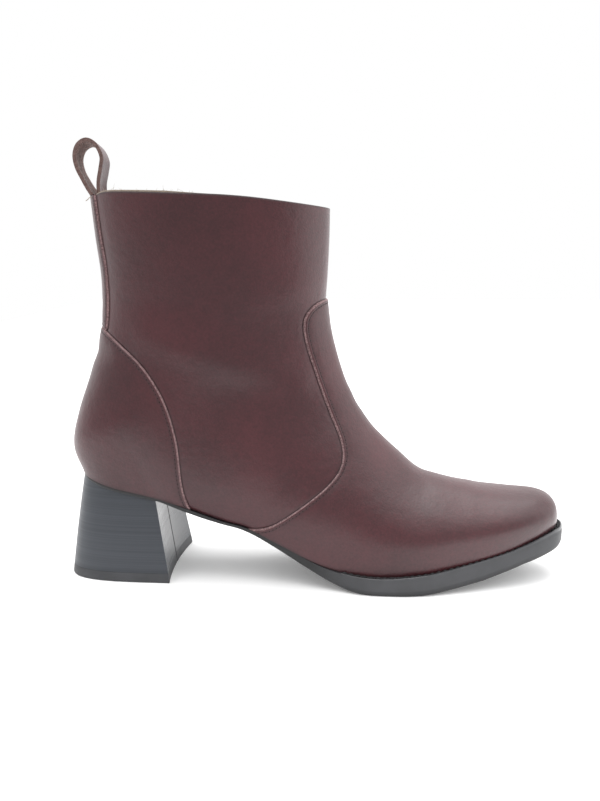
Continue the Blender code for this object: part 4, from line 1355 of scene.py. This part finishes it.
# layers: fine and broad level lines, like the edges of thin layers of leather
FINE_LAYERS = (5, 5, 1100)
BROAD_LAYERS = (9, 9, 260)
LAYER_SHARES = {"Fine Share": 0.6, "Broad Share": 0.4}
layer_group, layer_inputs = new_group("stacked layers", LAYER_SHARES)
fine_lines = noise(layer_group, stretched(layer_group, FINE_LAYERS), 1.0, detail=3.0)
broad_lines = noise(layer_group, stretched(layer_group, BROAD_LAYERS), 1.0, detail=2.0)
end_group(layer_group, {"Lines": added(layer_group, [
    (fine_lines, layer_inputs["Fine Share"]), (broad_lines, layer_inputs["Broad Share"]),
])})

SheetFinish = namedtuple("SheetFinish", "roughness gloss bump")
WRAPPED_SHEET = SheetFinish((0.47, 0.37), 0.5, 0.1)
POLISHED_SHEET = SheetFinish((0.29, 0.19), 0.3, 0.015)
LAYER_RANGE = (0.25, 0.75)
LAYER_BUMP_HEIGHT = 0.0003
JOINT_DYE = (0.008, 0.008, 0.009, 1)


def stack_material(name, finish):
    """Black sheet printed with layers. Its light lines are smoother than its dark ones."""
    material, tree, shader = new_material(name, Specular_IOR_Level=finish.gloss)
    lines = place_group(tree, layer_group, LAYER_SHARES)["Lines"]
    tone = mix_colours(tree, fit_range(tree, lines, LAYER_RANGE), STACK_DARK, STACK_LIGHT)
    tree.links.new(tone, shader.inputs["Base Color"])
    rough = fit_range(tree, lines, NOISE_MIDDLE, finish.roughness)
    tree.links.new(rough, shader.inputs["Roughness"])
    bump(tree, shader, lines, finish.bump, LAYER_BUMP_HEIGHT)
    return material


heel_stack = stack_material("stacked heel sheet", WRAPPED_SHEET)
heel_breast = stack_material("polished heel breast", POLISHED_SHEET)
heel_joint, _, _ = new_material("heel joint", Base_Color=JOINT_DYE, Roughness=0.7)
heel_loops = []
seat_plan, seat_part = heel_plan(HEEL_SEAT.z)
under_sole = sole_values(seat_plan[:, 0])[0] - SOLE_TOP_GAP
for share in np.linspace(1, 0, HEEL_LEVELS):
    plan, _ = heel_plan(LIFT_HEIGHT + share * (HEEL_SEAT.z - LIFT_HEIGHT))
    heel_loops.append(np.column_stack([plan, LIFT_HEIGHT + share * (under_sole - LIFT_HEIGHT)]))
step_part = np.maximum(seat_part, np.roll(seat_part, -1))
heel_ends = [HEEL_WRAP, HEEL_WRAP]
add_piece("heel", np.vstack(heel_loops), capped_faces(len(seat_plan), HEEL_LEVELS),
          [heel_stack, heel_breast, heel_joint], "heel_stack", "heel",
          face_materials=np.concatenate([heel_ends, np.tile(step_part, HEEL_LEVELS - 1)]))

# Top lift: the black rubber wear piece nailed under the heel. Its edge is trimmed flush, with a
# fine seam above and a rounded lower edge.
LiftLevel = namedtuple("LiftLevel", "height inset")
LIFT_LEVELS = [
    LiftLevel(LIFT_HEIGHT - 0.02, 0.25),
    LiftLevel(LIFT_HEIGHT - 0.3, 0.0),
    LiftLevel(0.7, 0.0),
    LiftLevel(0.2, 0.2),
    LiftLevel(0.0, 0.6),
]
LIFT_ROUGHNESS = (0.5, 0.6)
lift_rubber = rubber_material("black lift rubber", RUBBER_DARK, RUBBER_LIGHT, LIFT_ROUGHNESS)
lift_loops = []
for level in LIFT_LEVELS:
    plan, _ = heel_plan(level.height)
    plan = plan - level.inset * unit(plan - plan.mean(axis=0))
    lift_loops.append(np.column_stack([plan, np.full(len(plan), level.height)]))
lift_faces = capped_faces(len(seat_plan), len(lift_loops))
add_piece("top_lift", np.vstack(lift_loops), lift_faces, [lift_rubber], "sole_rubber", "top_lift")

# Floor and light: a white table that ends a little in front of the boot, in a white room that is
# dimmer behind the viewer. One large light hangs overhead and a window is at the toe's side.
FLOOR_LOW = (-0.6, -0.21)
FLOOR_HIGH = (1.4, 2.0)
FLOOR_WHITE = (0.90, 0.90, 0.90, 1)
FLOOR_PAINTED_GLOW = 0.15        # the table glows a little: painted light that lifts the shadows on it
floor_mesh = bpy.data.meshes.new("floor")
floor_corners = [(FLOOR_LOW[0], FLOOR_LOW[1], 0), (FLOOR_HIGH[0], FLOOR_LOW[1], 0),
                 (FLOOR_HIGH[0], FLOOR_HIGH[1], 0), (FLOOR_LOW[0], FLOOR_HIGH[1], 0)]
floor_mesh.from_pydata(floor_corners, [], [[0, 1, 2, 3]])
floor = bpy.data.objects.new("floor", floor_mesh)
floor_white, _, _ = new_material(
    "white table", Base_Color=FLOOR_WHITE, Roughness=0.8, Specular_IOR_Level=0.2,
    Emission_Color=FLOOR_WHITE, Emission_Strength=FLOOR_PAINTED_GLOW,
)
floor_mesh.materials.append(floor_white)
bpy.context.scene.collection.objects.link(floor)

ROOM_FAR_SIDE = 1.25
ROOM_CEILING = 1.8
ROOM_BEHIND_VIEWER = 0.58
ROOM_WALL_SPAN = (-0.50, 0.45)     # headings between which the room gets lighter
ROOM_CEILING_SPAN = (0.25, 0.80)
SEEN_WHITE = (1.0, 1.0, 1.0, 1)
ROOM_LEAN = 0.3          # the lit part of the room reaches further round on the toe's side
world = bpy.data.worlds.new("white room")
world.use_nodes = True
bpy.context.scene.world = world
room = world.node_tree
background = room.nodes["Background"]
direction = add_node(room, "ShaderNodeTexCoord").outputs["Generated"]
heading = add_node(room, "ShaderNodeSeparateXYZ", {0: direction})
toe_side = maths(room, "MULTIPLY", heading.outputs["X"], ROOM_LEAN)
leaned = maths(room, "ADD", heading.outputs["Y"], toe_side)
walls = fit_range(room, leaned, ROOM_WALL_SPAN, (ROOM_BEHIND_VIEWER, ROOM_FAR_SIDE))
ceiling = fit_range(room, heading.outputs["Z"], ROOM_CEILING_SPAN, (0.0, ROOM_CEILING))
radiance = maths(room, "MAXIMUM", walls, ceiling)
seen = add_node(room, "ShaderNodeLightPath").outputs["Is Camera Ray"]
shown = mix_colours(room, seen, radiance, SEEN_WHITE)
room.links.new(shown, background.inputs["Color"])

Lamp = namedtuple("Lamp", "name power size place aim")
LAMPS = [
    Lamp("overhead", 10.5, 1.2, (0.05, 0.15, 1.1), (0.05, 0.15, 0.0)),
    Lamp("window", 2.0, 0.9, (0.95, -0.05, 0.3), (0.12, 0.0, 0.08)),
]
for lamp in LAMPS:
    light = bpy.data.lights.new(lamp.name, "AREA")
    light.energy = lamp.power
    light.size = lamp.size
    hung = bpy.data.objects.new(lamp.name, light)
    hung.location = lamp.place
    hung.rotation_euler = (Vector(lamp.aim) - Vector(lamp.place)).to_track_quat("-Z", "Y").to_euler()
    bpy.context.scene.collection.objects.link(hung)

# Camera: where the photograph was taken from, a little above the boot's middle and turned a
# few degrees towards its heel.
CAMERA_PLACE = (119.0, -453.0, 172.0)
CAMERA_TURN = 3.9
CAMERA_PITCH = 10.4
FOCAL_PIXELS = 900.0
PICTURE_HEIGHT_PIXELS = 801.0
SENSOR = 36.0
NEAREST_SEEN = 0.01
camera_data = bpy.data.cameras.new("camera")
camera_data.sensor_width = SENSOR
camera_data.lens = SENSOR * FOCAL_PIXELS / PICTURE_HEIGHT_PIXELS
camera_data.clip_start = NEAREST_SEEN
camera = bpy.data.objects.new("camera", camera_data)
camera.location = np.array(CAMERA_PLACE) * MILLIMETRE
camera.rotation_euler = (np.radians(90 - CAMERA_PITCH), 0, np.radians(CAMERA_TURN))
bpy.context.scene.collection.objects.link(camera)
bpy.context.scene.camera = camera
bpy.context.scene.view_settings.view_transform = "Standard"
